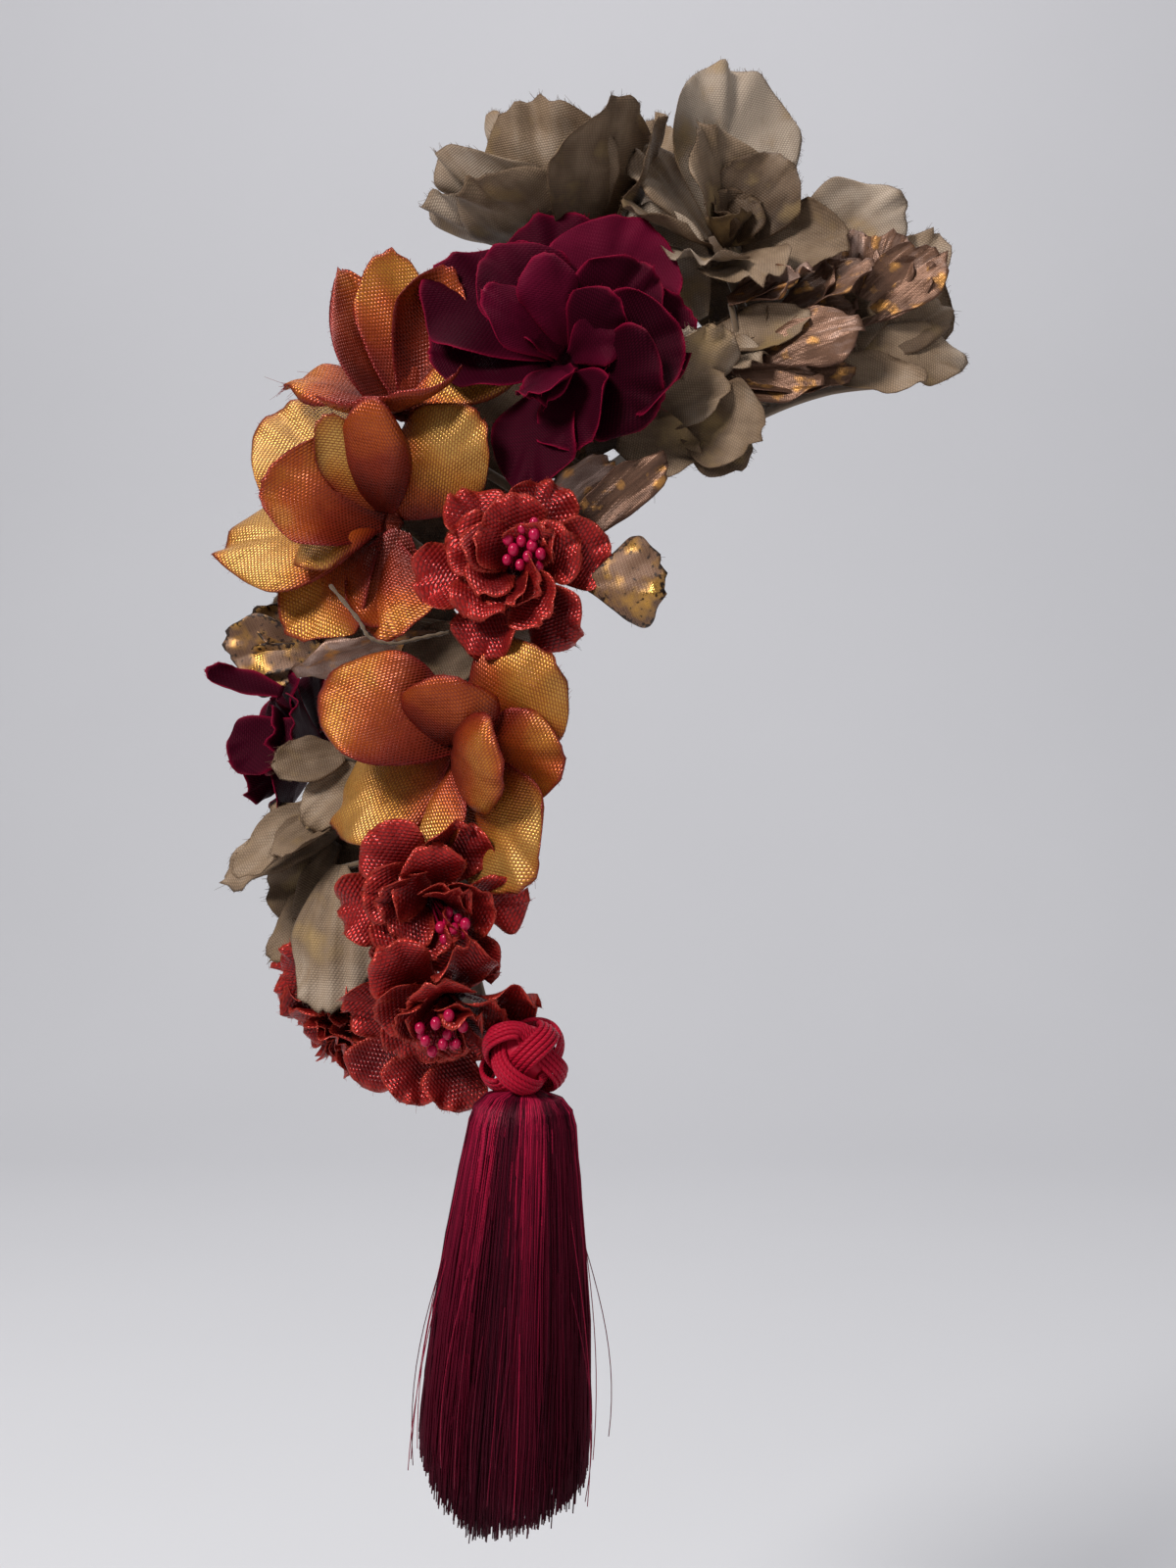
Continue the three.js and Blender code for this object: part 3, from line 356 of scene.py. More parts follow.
# Lights: place, target, size, power, colour
LIGHTS = {
    "key": ((-0.85, -0.95, 0.8), MIDDLE, (0.4, 0.4), 24, (1.0, 0.985, 0.96)),
    "fill": ((0.95, -0.9, 0.1), MIDDLE, (0.9, 1.2), 2.5, (0.95, 0.97, 1.0)),
    "top": ((-0.05, 0.1, 1.2), MIDDLE, (1.2, 0.8), 9, (1.0, 1.0, 1.0)),
    "backdrop": ((-0.05, 0.7, 1.5), (-0.05, 2.1, 0.35), (2.4, 0.5), 19, (1.0, 0.985, 1.0)),
}
ROOM = {"Color": (0.9, 0.93, 1.0, 1), "Strength": 0.18}
CAMERA = {"place": (-0.075, -0.554, -0.1006), "sensor": 36, "lens": 50}


def finish_of(name):
    return name.split("_")[0]


def seed_of(text):
    return zlib.crc32(text.encode())


def unit(vector):
    return vector / np.linalg.norm(vector, axis=-1, keepdims=True)


def facing(turn, lift):
    flat = math.cos(math.radians(lift))
    side = math.radians(turn)
    return np.array([-math.sin(side) * flat, -math.cos(side) * flat, math.sin(math.radians(lift))])


def band_point(angle, height, side):
    """A point over the head, from its angle in the band's plane, height and place across the band."""
    angle, height, side = np.broadcast_arrays(*(np.asarray(a, float) for a in (angle, height, side)))
    across = (side - HEAD["ahead"]) / HEAD["width"]
    narrowing = np.sqrt(1 - across**2)
    x = HEAD["length"] * narrowing * np.cos(np.radians(angle))
    z = HEAD["height"] * narrowing * np.sin(np.radians(angle))
    outward = unit(np.stack([x / HEAD["length"] ** 2, across / HEAD["width"], z / HEAD["height"] ** 2], -1))
    return np.stack([x, side, z - HEAD_MIDDLE], -1) + outward * height[..., None]


def basis(x, y, z, origin):
    place = np.eye(4)
    place[:3, 0], place[:3, 1], place[:3, 2], place[:3, 3] = x, y, z, origin
    return place


def turned(axis, degrees):
    """Rotation matrix about an axis."""
    x, y, z = unit(np.asarray(axis, float))
    cross = np.array([[0, -z, y], [z, 0, -x], [-y, x, 0]])
    angle = math.radians(degrees)
    place = np.eye(4)
    place[:3, :3] = np.eye(3) + math.sin(angle) * cross + (1 - math.cos(angle)) * cross @ cross
    return place


def moved(place, points):
    return points @ place[:3, :3].T + place[:3, 3]


def directions(count):
    return np.linspace(0, 2 * math.pi, count, endpoint=False)


def round_axis(out, bearing, level):
    """Points at a distance from the z axis, in a direction and at a level."""
    return np.stack(np.broadcast_arrays(out * np.cos(bearing), out * np.sin(bearing), level), -1)


def rings_of(across, over, sides):
    """Unit rings of points, each in the plane of two directions."""
    angle = directions(sides)[:, None]
    return np.cos(angle) * across[..., None, :] + np.sin(angle) * over[..., None, :]


def run_along(path):
    """How far along a path each of its points is."""
    return np.concatenate([[0], np.cumsum(np.linalg.norm(np.diff(path, axis=0), axis=1))])


def folds(seed, x, y, size):
    """Smooth uneven waves of about one unit height, with crests a given length apart."""
    rng = np.random.default_rng(seed)
    total = np.zeros_like(x)
    for _ in range(FOLDS["waves"]):
        heading = rng.uniform(0, 2 * math.pi)
        length = size * rng.uniform(FOLDS["shortest"], FOLDS["longest"])
        way = x * math.cos(heading) + y * math.sin(heading)
        total += np.sin(way * 2 * math.pi / length + rng.uniform(0, 2 * math.pi)) * length / size
    return total / FOLDS["damp"]


class Build:
    """Points and faces of one object, with the values that its materials read at each point."""

    def __init__(self):
        self.points, self.uv, self.tone, self.edge = [], [], [], []
        self.faces, self.slots = [], []
        self.count = 0

    def add(self, points, faces, uv=None, tone=0.5, edge=0.0, slot=0):
        n = len(points)
        self.points.append(points)
        self.uv.append(np.zeros((n, 2)) if uv is None else uv)
        self.tone.append(np.broadcast_to(np.asarray(tone, float), n))
        self.edge.append(np.broadcast_to(np.asarray(edge, float), n))
        for group in faces:
            group = np.asarray(group)
            self.faces.append(group + self.count)
            self.slots.append(np.full(len(group), slot))
        self.count += n

    def finish(self, name, materials):
        """Writes the mesh and rides it on the part."""
        mesh = bpy.data.meshes.new(name)
        points = np.concatenate(self.points) * MM
        corners = np.concatenate([group.ravel() for group in self.faces]).astype(np.int32)
        sizes = np.concatenate([np.full(len(group), group.shape[1]) for group in self.faces]).astype(np.int32)
        starts = (np.cumsum(sizes) - sizes).astype(np.int32)
        mesh.vertices.add(len(points))
        mesh.vertices.foreach_set("co", points.astype(np.float32).ravel())
        mesh.loops.add(len(corners))
        mesh.loops.foreach_set("vertex_index", corners)
        mesh.polygons.add(len(sizes))
        mesh.polygons.foreach_set("loop_start", starts)
        mesh.polygons.foreach_set("loop_total", sizes)
        mesh.polygons.foreach_set("material_index", np.concatenate(self.slots).astype(np.int32))
        mesh.polygons.foreach_set("use_smooth", np.ones(len(sizes), bool))
        layer = mesh.uv_layers.new(name="UVMap")
        layer.data.foreach_set("uv", np.concatenate(self.uv)[corners].astype(np.float32).ravel())
        for key in ("tone", "edge"):
            values = np.concatenate(getattr(self, key)).astype(np.float32)
            mesh.attributes.new(key, "FLOAT", "POINT").data.foreach_set("value", values)
        for material in materials:
            mesh.materials.append(material)
        mesh.update(calc_edges=True)
        piece = bpy.data.objects.new(name, mesh)
        bpy.context.scene.collection.objects.link(piece)
        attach(piece, "root")
        return piece


def grid_faces(rows, columns):
    row, column = np.meshgrid(np.arange(rows), np.arange(columns), indexing="ij")
    first = (row * (columns + 1) + column).ravel()
    return np.stack([first, first + columns + 1, first + columns + 2, first + 1], -1)


def rim_of(rows, columns):
    """Indices round a grid, from its first row up one side, over the end and down the other side."""
    width = columns + 1
    right = [i * width + columns for i in range(rows)]
    end = [rows * width + j for j in range(columns, 0, -1)]
    left = [i * width for i in range(rows, 0, -1)]
    root = list(range(columns))
    return np.array(right + end + left + root)


def grid_normals(points):
    along = np.gradient(points, axis=0)
    across = np.gradient(points, axis=1)
    return unit(np.cross(along, across) + 1e-12)


def add_sheet(build, points, uv, thick, tone, edge, back_tone=None):
    """A closed thin sheet over a grid of points, with a rounded rim."""
    rows, columns = points.shape[0] - 1, points.shape[1] - 1
    normals = grid_normals(points)
    thin = thick / 2 * (1 - RIM_THINNING * edge[..., None] ** 2)
    front = (points + normals * thin).reshape(-1, 3)
    back = (points - normals * thin).reshape(-1, 3)
    size = len(front)
    faces = grid_faces(rows, columns)
    rim = rim_of(rows, columns)
    after = np.roll(rim, -1)
    sides = np.stack([rim, after, after + size, rim + size], -1)
    flat_uv = uv.reshape(-1, 2)
    flat_edge = edge.ravel()
    tones = tone.ravel()
    back_tones = tones if back_tone is None else back_tone.ravel()
    build.add(
        np.concatenate([front, back]),
        [faces, faces[:, ::-1] + size, sides],
        np.concatenate([flat_uv, flat_uv]),
        np.concatenate([tones, back_tones]),
        np.concatenate([flat_edge, flat_edge]),
    )


def tube_rings(path, radii, sides):
    """Rings of points round a path."""
    along = unit(np.gradient(path, axis=0))
    guide = np.array([0.0, 0.0, 1.0]) if abs(along[0][2]) < 0.9 else np.array([1.0, 0.0, 0.0])
    across = np.zeros_like(along)
    for k in range(len(path)):
        guide = guide - along[k] * guide.dot(along[k])
        guide = guide / np.linalg.norm(guide)
        across[k] = guide
    ring = rings_of(across, np.cross(along, across), sides)
    return path[:, None] + ring * np.asarray(radii)[:, None, None]


def tube_faces(rings, sides, closed=False):
    last = rings if closed else rings - 1
    row, side = np.meshgrid(np.arange(last), np.arange(sides), indexing="ij")
    after, beside = (row + 1) % rings, (side + 1) % sides
    row, after = row * sides, after * sides
    quads = np.stack([row + side, row + beside, after + beside, after + side], -1)
    faces = [quads.reshape(-1, 4)]
    if not closed:
        faces.append(np.arange(sides)[::-1][None])
        faces.append((np.arange(sides) + (rings - 1) * sides)[None])
    return faces


def add_tube(build, path, radii, sides, tone=0.5, slot=0):
    path = np.asarray(path, float)
    radii = np.broadcast_to(np.asarray(radii, float), len(path))
    rings = tube_rings(path, radii, sides)
    run = run_along(path)
    turn = np.arange(sides) / sides
    uv = np.stack(np.broadcast_arrays(run[:, None], turn[None] * 2 * math.pi * radii[:, None]), -1)
    build.add(rings.reshape(-1, 3), tube_faces(len(path), sides), uv.reshape(-1, 2), tone, slot=slot)


def add_round(build, place, out, level, tone, uv=None):
    """A closed round surface from its radii, with a row for each level and a column for each direction."""
    rows, columns = out.shape
    points = round_axis(out, directions(columns), level[:, None])
    faces = [group[:, ::-1] for group in tube_faces(rows, columns)]
    build.add(moved(place, points.reshape(-1, 3)), faces, uv, tone)


def add_ball(build, centre, radius, tone, tall=1.0):
    polar = np.linspace(0.05, math.pi - 0.05, BALL["rows"])
    out = np.repeat(np.sin(polar)[:, None] * radius, BALL["columns"], 1)
    add_round(build, basis(*np.eye(3), centre), out, np.cos(polar) * radius * tall, tone)


def curve_through(points, steps):
    """A smooth run of points through the given ones."""
    table = np.array([points[0], *points, points[-1]], float)
    s = np.linspace(0, 1, steps, endpoint=False)[:, None]
    parts = []
    for a, b, c, d in zip(table, table[1:], table[2:], table[3:]):
        square = a - 2.5 * b + 2 * c - d / 2
        cube = 1.5 * b - 1.5 * c + d / 2 - a / 2
        parts.append(b + (c - a) * s / 2 + square * s**2 + cube * s**3)
    return np.concatenate([*parts, table[-1:]])


def outline_at(petal, u):
    """Half width of a flat petal, as a share of its widest."""
    shape = OUTLINES[petal["shape"]]
    base = ROOT_WIDTH / petal["wide"]
    tip, flare, corner = shape["tip"], shape["flare"], shape["round"]
    slope = max(-tip * (1 - 2 * corner) / (2 * corner), -1.2)

    def width(s):
        root = base * (1 + 2 * s) * (1 - s) ** 2 + flare * s * (1 - s) ** 2
        return root + tip * s * s * (3 - 2 * s) + slope * s * s * (s - 1)

    return width(u) / width(np.linspace(0, 1, 21)).max()


def petal_points(petal, cloth, u, v):
    """A petal's surface in its own frame, x outwards from its root and z along the flower's axis."""
    long, wide, seed = petal["long"], petal["wide"], petal["seed"]
    corner = OUTLINES[petal["shape"]]["round"]
    round_edge = np.arctan2(v, u - 0.4)
    uneven = cloth["ragged"] * folds(seed + 1, round_edge * 10, u * 6, 3.5)
    along = (u - corner * u * u * v * v) * (1 + uneven * u**6)
    side = v * outline_at(petal, u) * wide / 2 * (1 + uneven * np.abs(v) ** 4)
    start = math.radians(petal["from"])
    bend = math.radians(petal["to"] - petal["from"]) or 1e-6
    angle = start + bend * along
    out = long * (math.cos(start) - np.cos(angle)) / bend
    rise = long * (np.sin(angle) - math.sin(start)) / bend
    curl = math.radians(petal["cup"]) * 2 / wide or 1e-6
    near_edge = u * np.maximum(np.abs(v), u) ** 3
    wave = petal["frill"] * np.sin(FRILL_WAVES * round_edge + petal["at"])
    swirl = seed % 7 + 2 * np.sin(2 * round_edge + seed % 5)
    wave += cloth["ripple"] * np.sin(cloth["waves"] * round_edge + swirl)
    creases = cloth["crumple"] * folds(seed, along * long, side, cloth["size"]) * u
    creases += cloth["sway"] * folds(seed + 3, along * long, side, SWAY_SIZE) * u
    pleats = np.cos(cloth["pleats"] * math.pi * v + seed % 6) * np.sin(2.2 * u)
    creases += petal.get("pleat", cloth["pleat"]) * pleats
    rib = -RIB["depth"] * np.exp(-((side / RIB["width"]) ** 2)) * (1 - u)
    lift = (1 - np.cos(curl * side)) / curl + wave * near_edge + creases + rib
    lift -= petal["roll"] * np.maximum(np.abs(v), u) ** 7 * u
    lift += side * math.tan(math.radians(petal["twist"])) * u
    across = np.sin(curl * side) / curl + petal["bow"] * long * u * u
    points = np.stack([out - lift * np.cos(angle), across, rise + lift * np.sin(angle)], -1)
    return points, np.stack([along * long, side], -1)


def add_petal(build, petal, place, finish):
    """One petal of cloth with its frayed edge."""
    cloth = CLOTHS[finish]
    rng = np.random.default_rng(petal["seed"] + 9)
    petal["roll"] = cloth["roll"] * rng.uniform(-1.0, 1.3)
    petal["twist"] = cloth["twist"] * rng.uniform(-1, 1)
    petal["bow"] = cloth["bow"] * rng.uniform(-1, 1)
    rows = int(np.clip(petal["long"] * PETAL_GRID["pitch"], *PETAL_GRID["along"]))
    columns = int(np.clip(petal["wide"] * PETAL_GRID["pitch"], *PETAL_GRID["across"]))
    u, v = np.meshgrid(np.linspace(0, 1, rows + 1), np.linspace(-1, 1, columns + 1), indexing="ij")
    crowd = PETAL_GRID["crowd"]
    v = np.sin(v * math.pi / 2) * crowd + v * (1 - crowd)
    points, uv = petal_points(petal, cloth, u, v)
    points = moved(place, points)
    half = outline_at(petal, u) * petal["wide"] / 2
    rest = np.minimum((1 - np.abs(v)) * half, (1 - u) * petal["long"])
    edge = np.exp(-rest / EDGE_BAND)
    edge[0] *= ROOT_EDGE
    # The root is darker than the tip: partly the cloth's own colour, partly painted shade where the roots
    # gather
    tone = np.clip(petal["tone"] + cloth["root_tint_and_shade"] * (ROOT_TINT_AND_SHADE_MIDDLE - u), 0, 1)
    back_tone = np.clip(tone + cloth["back"], 0, 1)
    slant = cloth["slant"] * rng.uniform(0.6, 1.3)
    grain = uv @ np.array([[math.cos(slant), math.sin(slant)], [-math.sin(slant), math.cos(slant)]])
    add_sheet(build, points, grain + petal["seed"] % 97, cloth["thick"], tone, edge, back_tone)
    add_fray(build, points, petal, cloth, rows, columns)


def add_fray(build, points, petal, cloth, rows, columns):
    """Loose threads that stand out of the cut edge."""
    rng = np.random.default_rng(petal["seed"] + 5)
    flat = points.reshape(-1, 3)
    ahead, behind = int(rows * FRAY["start"]), int(rows * FRAY["end"])
    rim = rim_of(rows, columns)[ahead:rows + columns + behind]
    width = columns + 1
    inner = np.clip(rim // width, 1, rows - 1) * width + np.clip(rim % width, 1, columns - 1)
    steps = np.linalg.norm(np.diff(flat[rim], axis=0), axis=1)
    count = int(steps.sum() * cloth["fray"])
    if not count:
        return
    pick = rng.choice(len(steps), count, p=steps / steps.sum())
    share = rng.uniform(0, 1, (count, 1))
    base = flat[rim[pick]] * (1 - share) + flat[rim[pick + 1]] * share
    outward = unit(flat[rim[pick]] - flat[inner[pick]] + 1e-9)
    outward = unit(outward + rng.normal(0, FRAY["spread"], (count, 3)))
    length = cloth["hair"] * petal["fringe"] * rng.gamma(2.0, 0.5, (count, 1))
    add_hairs(build, base - outward * FRAY["root"], base + outward * length, petal["tone"])


def add_hairs(build, base, tip, tone):
    """Straight closed slivers with three sides, in the colour of the cut edge."""
    count = len(base)
    along = unit(tip - base)
    guide = np.where(np.abs(along[:, 2:3]) < 0.9, np.array([[0.0, 0, 1]]), np.array([[1.0, 0, 0]]))
    across = unit(np.cross(along, guide))
    ring = rings_of(across, np.cross(along, across), 3)
    radius = FRAY["radius"]
    foot = base[:, None] + ring * radius
    end = tip[:, None] + ring * radius * FRAY["taper"]
    points = np.concatenate([foot, end], 1)
    first = np.arange(count)[:, None] * 6
    quads = [first + np.array([[k, (k + 1) % 3, (k + 1) % 3 + 3, k + 3]]) for k in range(3)]
    ends = [first + np.array([[2, 1, 0]]), first + np.array([[3, 4, 5]])]
    build.add(points.reshape(-1, 3), [np.concatenate(quads), np.concatenate(ends)], None, tone, 1.0)


def flower_place(centre, turn, lift):
    axis = facing(turn, lift)
    right = unit(np.array([1.0, 0, 0]) - axis * axis[0])
    return basis(right, np.cross(axis, right), axis, centre)


def petal_place(place, petal, radius):
    lean = math.radians((petal["from"] + petal["to"]) / 2)
    tile = turned((math.sin(lean), 0, math.cos(lean)), ROLL)
    tile[:3, 3] = (radius, 0, petal["raise"])
    return place @ turned((0, 0, 1), petal["at"]) @ tile


def ring_radius(count):
    return count * ROOT_PITCH / (2 * math.pi) if count > 2 else SINGLE_ROOT


def add_hub(build, place, radius):
    """The gathered middle of a flower: a low dome in front of the ring, and a cup behind it."""
    polar = np.linspace(0.02, math.pi - 0.02, HUB["rows"])
    turn = directions(HUB["columns"])
    pleat = 1 + HUB["pleat"] * np.cos(turn * HUB["pleats"])
    out = (radius + HUB["past"]) * np.sin(polar)[:, None] * pleat
    height = np.where(polar < math.pi / 2, HUB["dome"], HUB["cup"]) * np.cos(polar)
    uv = np.stack(np.broadcast_arrays(turn[None], polar[:, None]), -1).reshape(-1, 2) * HUB["weave"]
    add_round(build, place, out, height, HUB["tone"], uv)


def petal_of(form, at, long, wide, tone, height, key):
    """A petal's values. Its form is the angles from and to, the cup, the frill and the outline."""
    start, end, cup, frill, shape = form
    return {
        "from": start, "to": end, "cup": cup, "frill": frill, "shape": shape, "at": at, "long": long,
        "wide": wide, "tone": tone, "raise": height, "seed": seed_of(key), "fringe": FRINGES.get(key, 1),
    }


def add_ruffles(build, name, finish, place):
    for k, (start, end, long, wide, count, height, tone) in enumerate(RUFFLES.get(name, ())):
        form = (start, end, RUFFLE["cup"], RUFFLE["frill"], "broad")
        radius = ring_radius(count) * RUFFLE["gather"]
        for j in range(count):
            at = (j + RUFFLE["step"] * k) * 360 / count + RUFFLE["start"]
            petal = petal_of(form, at, long, wide, tone, height, f"{name}r{k}.{j}")
            add_petal(build, petal, petal_place(place, petal, radius), finish)


def finish_cloth(build, name, finish):
    """Writes a flower or leaf, which stands for the solid of its name."""
    piece = build.finish(name + "_cloth", [MATERIALS[finish], MATERIALS["stalk"]])
    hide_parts(name)


def make_flower(name, centre, turn, lift, foot, side):
    build = Build()
    finish = finish_of(name)
    place = flower_place(centre, turn, lift)
    axis = place[:3, 2]
    for k, (*form, petals) in enumerate(WHORLS[name]):
        radius = ring_radius(len(petals))
        for j, (at, long, wide, tone) in enumerate(petals):
            petal = petal_of(form, at, long, wide, tone, k * WHORL_RISE, f"{name}{k}.{j}")
            add_petal(build, petal, petal_place(place, petal, radius), finish)
    add_ruffles(build, name, finish, place)
    add_fillers(build, name, petal, finish)
    outer_petals = WHORLS[name][0][-1]
    add_hub(build, place, max(ring_radius(len(outer_petals)), HUB["least"]))
    seat = band_point(foot, BAND_THICK + SEAT, side)
    centre = np.array(centre, float)
    throat = centre - axis * NECK
    add_tube(build, [centre + axis, throat, throat * 0.5 + seat * 0.5, seat], STEM_RADIUS, 8, 0.9, STALK)
    if name == LOOSE_STRAND["flower"]:
        strand = curve_through(LOOSE_STRAND["points"], 9)
        uneven = 1 + LOOSE_STRAND["uneven"] * np.sin(np.arange(len(strand)) * 1.7)
        add_tube(build, strand, LOOSE_STRAND["radius"] * uneven, 6, 0.2, STALK)
    finish_cloth(build, name, finish)


def leaf_place(root, tip, turn, lift):
    """Frame of a leaf at its root, and its length."""
    root, tip = np.array(root, float), np.array(tip, float)
    long = np.linalg.norm(tip - root)
    outward = (tip - root) / long
    face = facing(turn, lift)
    face = unit(face - outward * face.dot(outward))
    return basis(outward, np.cross(face, outward), face, root), long


def add_fillers(build, name, petal, finish):
    """The small petals that grow with a piece, in the form of one of its own."""
    for k, (owner, root, tip, wide, turn, lift, tone) in enumerate(FILLERS):
        if owner == name:
            place, long = leaf_place(root, tip, turn, lift)
            own = {"long": long, "wide": wide, "tone": tone, "seed": seed_of(f"filler{k}")}
            add_petal(build, {**petal, **FILLER, **own}, place, finish)


def make_leaf(name, root, tip, wide, turn, lift, arch, cup, shape, foot, side, tone):
    build = Build()
    finish = finish_of(name)
    place, long = leaf_place(root, tip, turn, lift)
    face = place[:3, 2]
    form = (90 + arch / 2, 90 - arch / 2, cup, LEAF_FRILL, shape)
    petal = petal_of(form, 0, long, wide, tone, 0, name)
    petal["pleat"] = PLEATED.get(name, CLOTHS[finish]["pleat"])
    add_petal(build, petal, place, finish)
    add_offcuts(build, petal, place, finish, OFFCUTS.get(name, 0))
    add_fillers(build, name, petal, finish)
    seat = band_point(foot, BAND_THICK + SEAT, side)
    share = np.array([0.02, 0.2, 0.4])
    rib, _ = petal_points(petal, CLOTHS[finish], share, np.zeros(3))
    wire = np.concatenate([[seat, seat * 0.5 + place[:3, 3] * 0.5], moved(place, rib) - face * 0.4])
    add_tube(build, wire, [1.0, 0.9, 0.8, 0.55, 0.25], 6, 0.8, STALK)
    finish_cloth(build, name, finish)


def add_offcuts(build, petal, place, finish, count):
    """Small leaves on the same stalk, swung to either side of the main one and a little behind it."""
    rng = np.random.default_rng(petal["seed"] + 21)
    for k in range(count):
        swing = turned((0, 0, 1), (-1) ** k * rng.uniform(*OFFCUT["swing"]))
        tilt = turned((0, 1, 0), rng.uniform(*OFFCUT["tilt"]))
        shift = np.eye(4)
        shift[:3, 3] = rng.uniform(*OFFCUT_SHIFT)
        small = dict(petal)
        for key in ("long", "wide"):
            small[key] = petal[key] * rng.uniform(*OFFCUT["size"])
        small["tone"] = np.clip(petal["tone"] + rng.uniform(*OFFCUT["tone"]), 0, 1)
        small["seed"] = petal["seed"] + 31 + 13 * k
        add_petal(build, small, place @ shift @ swing @ tilt, finish)


def make_rear_leaf(k, at, reach, swing, lean):
    root = band_point(at, REAR["root"], REAR["side"])
    tip = band_point(at + swing, reach, REAR["side"]) + np.array([0, lean, 0])
    # Rear leaves are dark so that where they show through gaps they read as painted shade
    tone = 0.6 + 0.3 * ((k * 5) % 7) / 7
    make_leaf(
        f"taupe_leaf_rear_{k + 1}", root, tip, REAR["wide"], 180, 0, REAR["arch"], REAR["cup"],
        "full", at, REAR["side"] - 2, tone)


def make_band():
    """The felt strip that the stems are sewn to, with a running stitch along its edges."""
    build = Build()
    rows, columns = 110, 14
    place = np.linspace(0, len(BAND_SECTIONS) - 1, rows + 1)
    table = np.array(BAND_SECTIONS, float)
    at, middle, wide = (np.interp(place, np.arange(len(table)), table[:, k]) for k in range(3))
    v = np.linspace(-1, 1, columns + 1)
    side = middle[:, None] - v[None] * wide[:, None] / 2
    points = band_point(at[:, None], BAND_THICK / 2, side)
    run = run_along(points[:, columns // 2])
    uv = np.stack(np.broadcast_arrays(run[:, None], side), -1)
    edge = np.exp(-(1 - np.abs(v))[None] * wide[:, None] / 2)
    add_sheet(build, points, uv, BAND_THICK, np.full(side.shape, 0.5), edge)
    for edge_side in (-1, 1):
        line_side = middle + edge_side * (wide / 2 - STITCH["inset"])
        for k in range(2, rows - 2, STITCH["every"]):
            pair = np.array([k, k + 1])
            for height in (BAND_THICK + STITCH["proud"], -STITCH["proud"]):
                start, end = band_point(at[pair], height, line_side[pair])
                add_tube(build, np.linspace(start, end, 3), STITCH["radii"], 5, 0.7, STALK)
    piece = build.finish("felt_band", [MATERIALS["felt"], MATERIALS["stalk"]])
    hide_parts("base_band")


def knot_point(s):
    """The middle of the braid's bundle of cords."""
    level = np.sin(KNOT["bights"] * s)
    out = KNOT["radius"] * np.sqrt(1 - 0.35 * level**2) + KNOT["weave"] * np.sin(2 * KNOT["bights"] * s)
    return round_axis(out, KNOT["leads"] * s, KNOT["height"] * level)


def make_knot():
    """The braid: cords side by side, three times round, over and under."""
    build = Build()
    centre = np.array(KNOT["centre"], float)
    s = directions(KNOT_CORD["steps"])
    middle = knot_point(s)
    along = unit(knot_point(s + 0.01) - knot_point(s - 0.01))
    outward = unit(middle - along * (middle * along).sum(-1, keepdims=True))
    across = np.cross(along, outward)
    sides, radius = KNOT_CORD["sides"], KNOT_CORD["radius"]
    skin = rings_of(across, outward, sides) * radius
    faces = [group[:, ::-1] for group in tube_faces(len(s), sides, True)]
    for k in range(KNOT_CORD["count"]):
        shift = (k - (KNOT_CORD["count"] - 1) / 2) * KNOT_CORD["pitch"]
        crown = KNOT_CORD["crown"] - KNOT_CORD["fall"] * shift**2
        path = centre + middle + across * shift + outward * crown
        points = path[:, None] + skin
        run = np.cumsum(np.linalg.norm(path - np.roll(path, 1, axis=0), axis=1))
        uv = np.stack(np.broadcast_arrays(run[:, None], directions(sides) * radius), -1)
        build.add(points.reshape(-1, 3), faces, uv.reshape(-1, 2), 0.45 + 0.06 * (k % 3))
    add_ball(build, centre, KNOT["radius"] - 0.6, 0.9)
    seat = band_point(HANGER["foot"], BAND_THICK + SEAT, HANGER["side"])
    drop = np.linspace(0, 1, 8)[:, None]
    add_tube(build, centre * (1 - drop) + seat * drop, HANGER["radius"], 10, 0.6)
    piece = build.finish("cord_knot", [MATERIALS["cord"]])
    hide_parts("tassel_knot")


def skirt_radius(u):
    grow = SKIRT["end_radius"] - SKIRT["top_radius"]
    return SKIRT["top_radius"] + grow * np.sin(u * math.pi / 2)


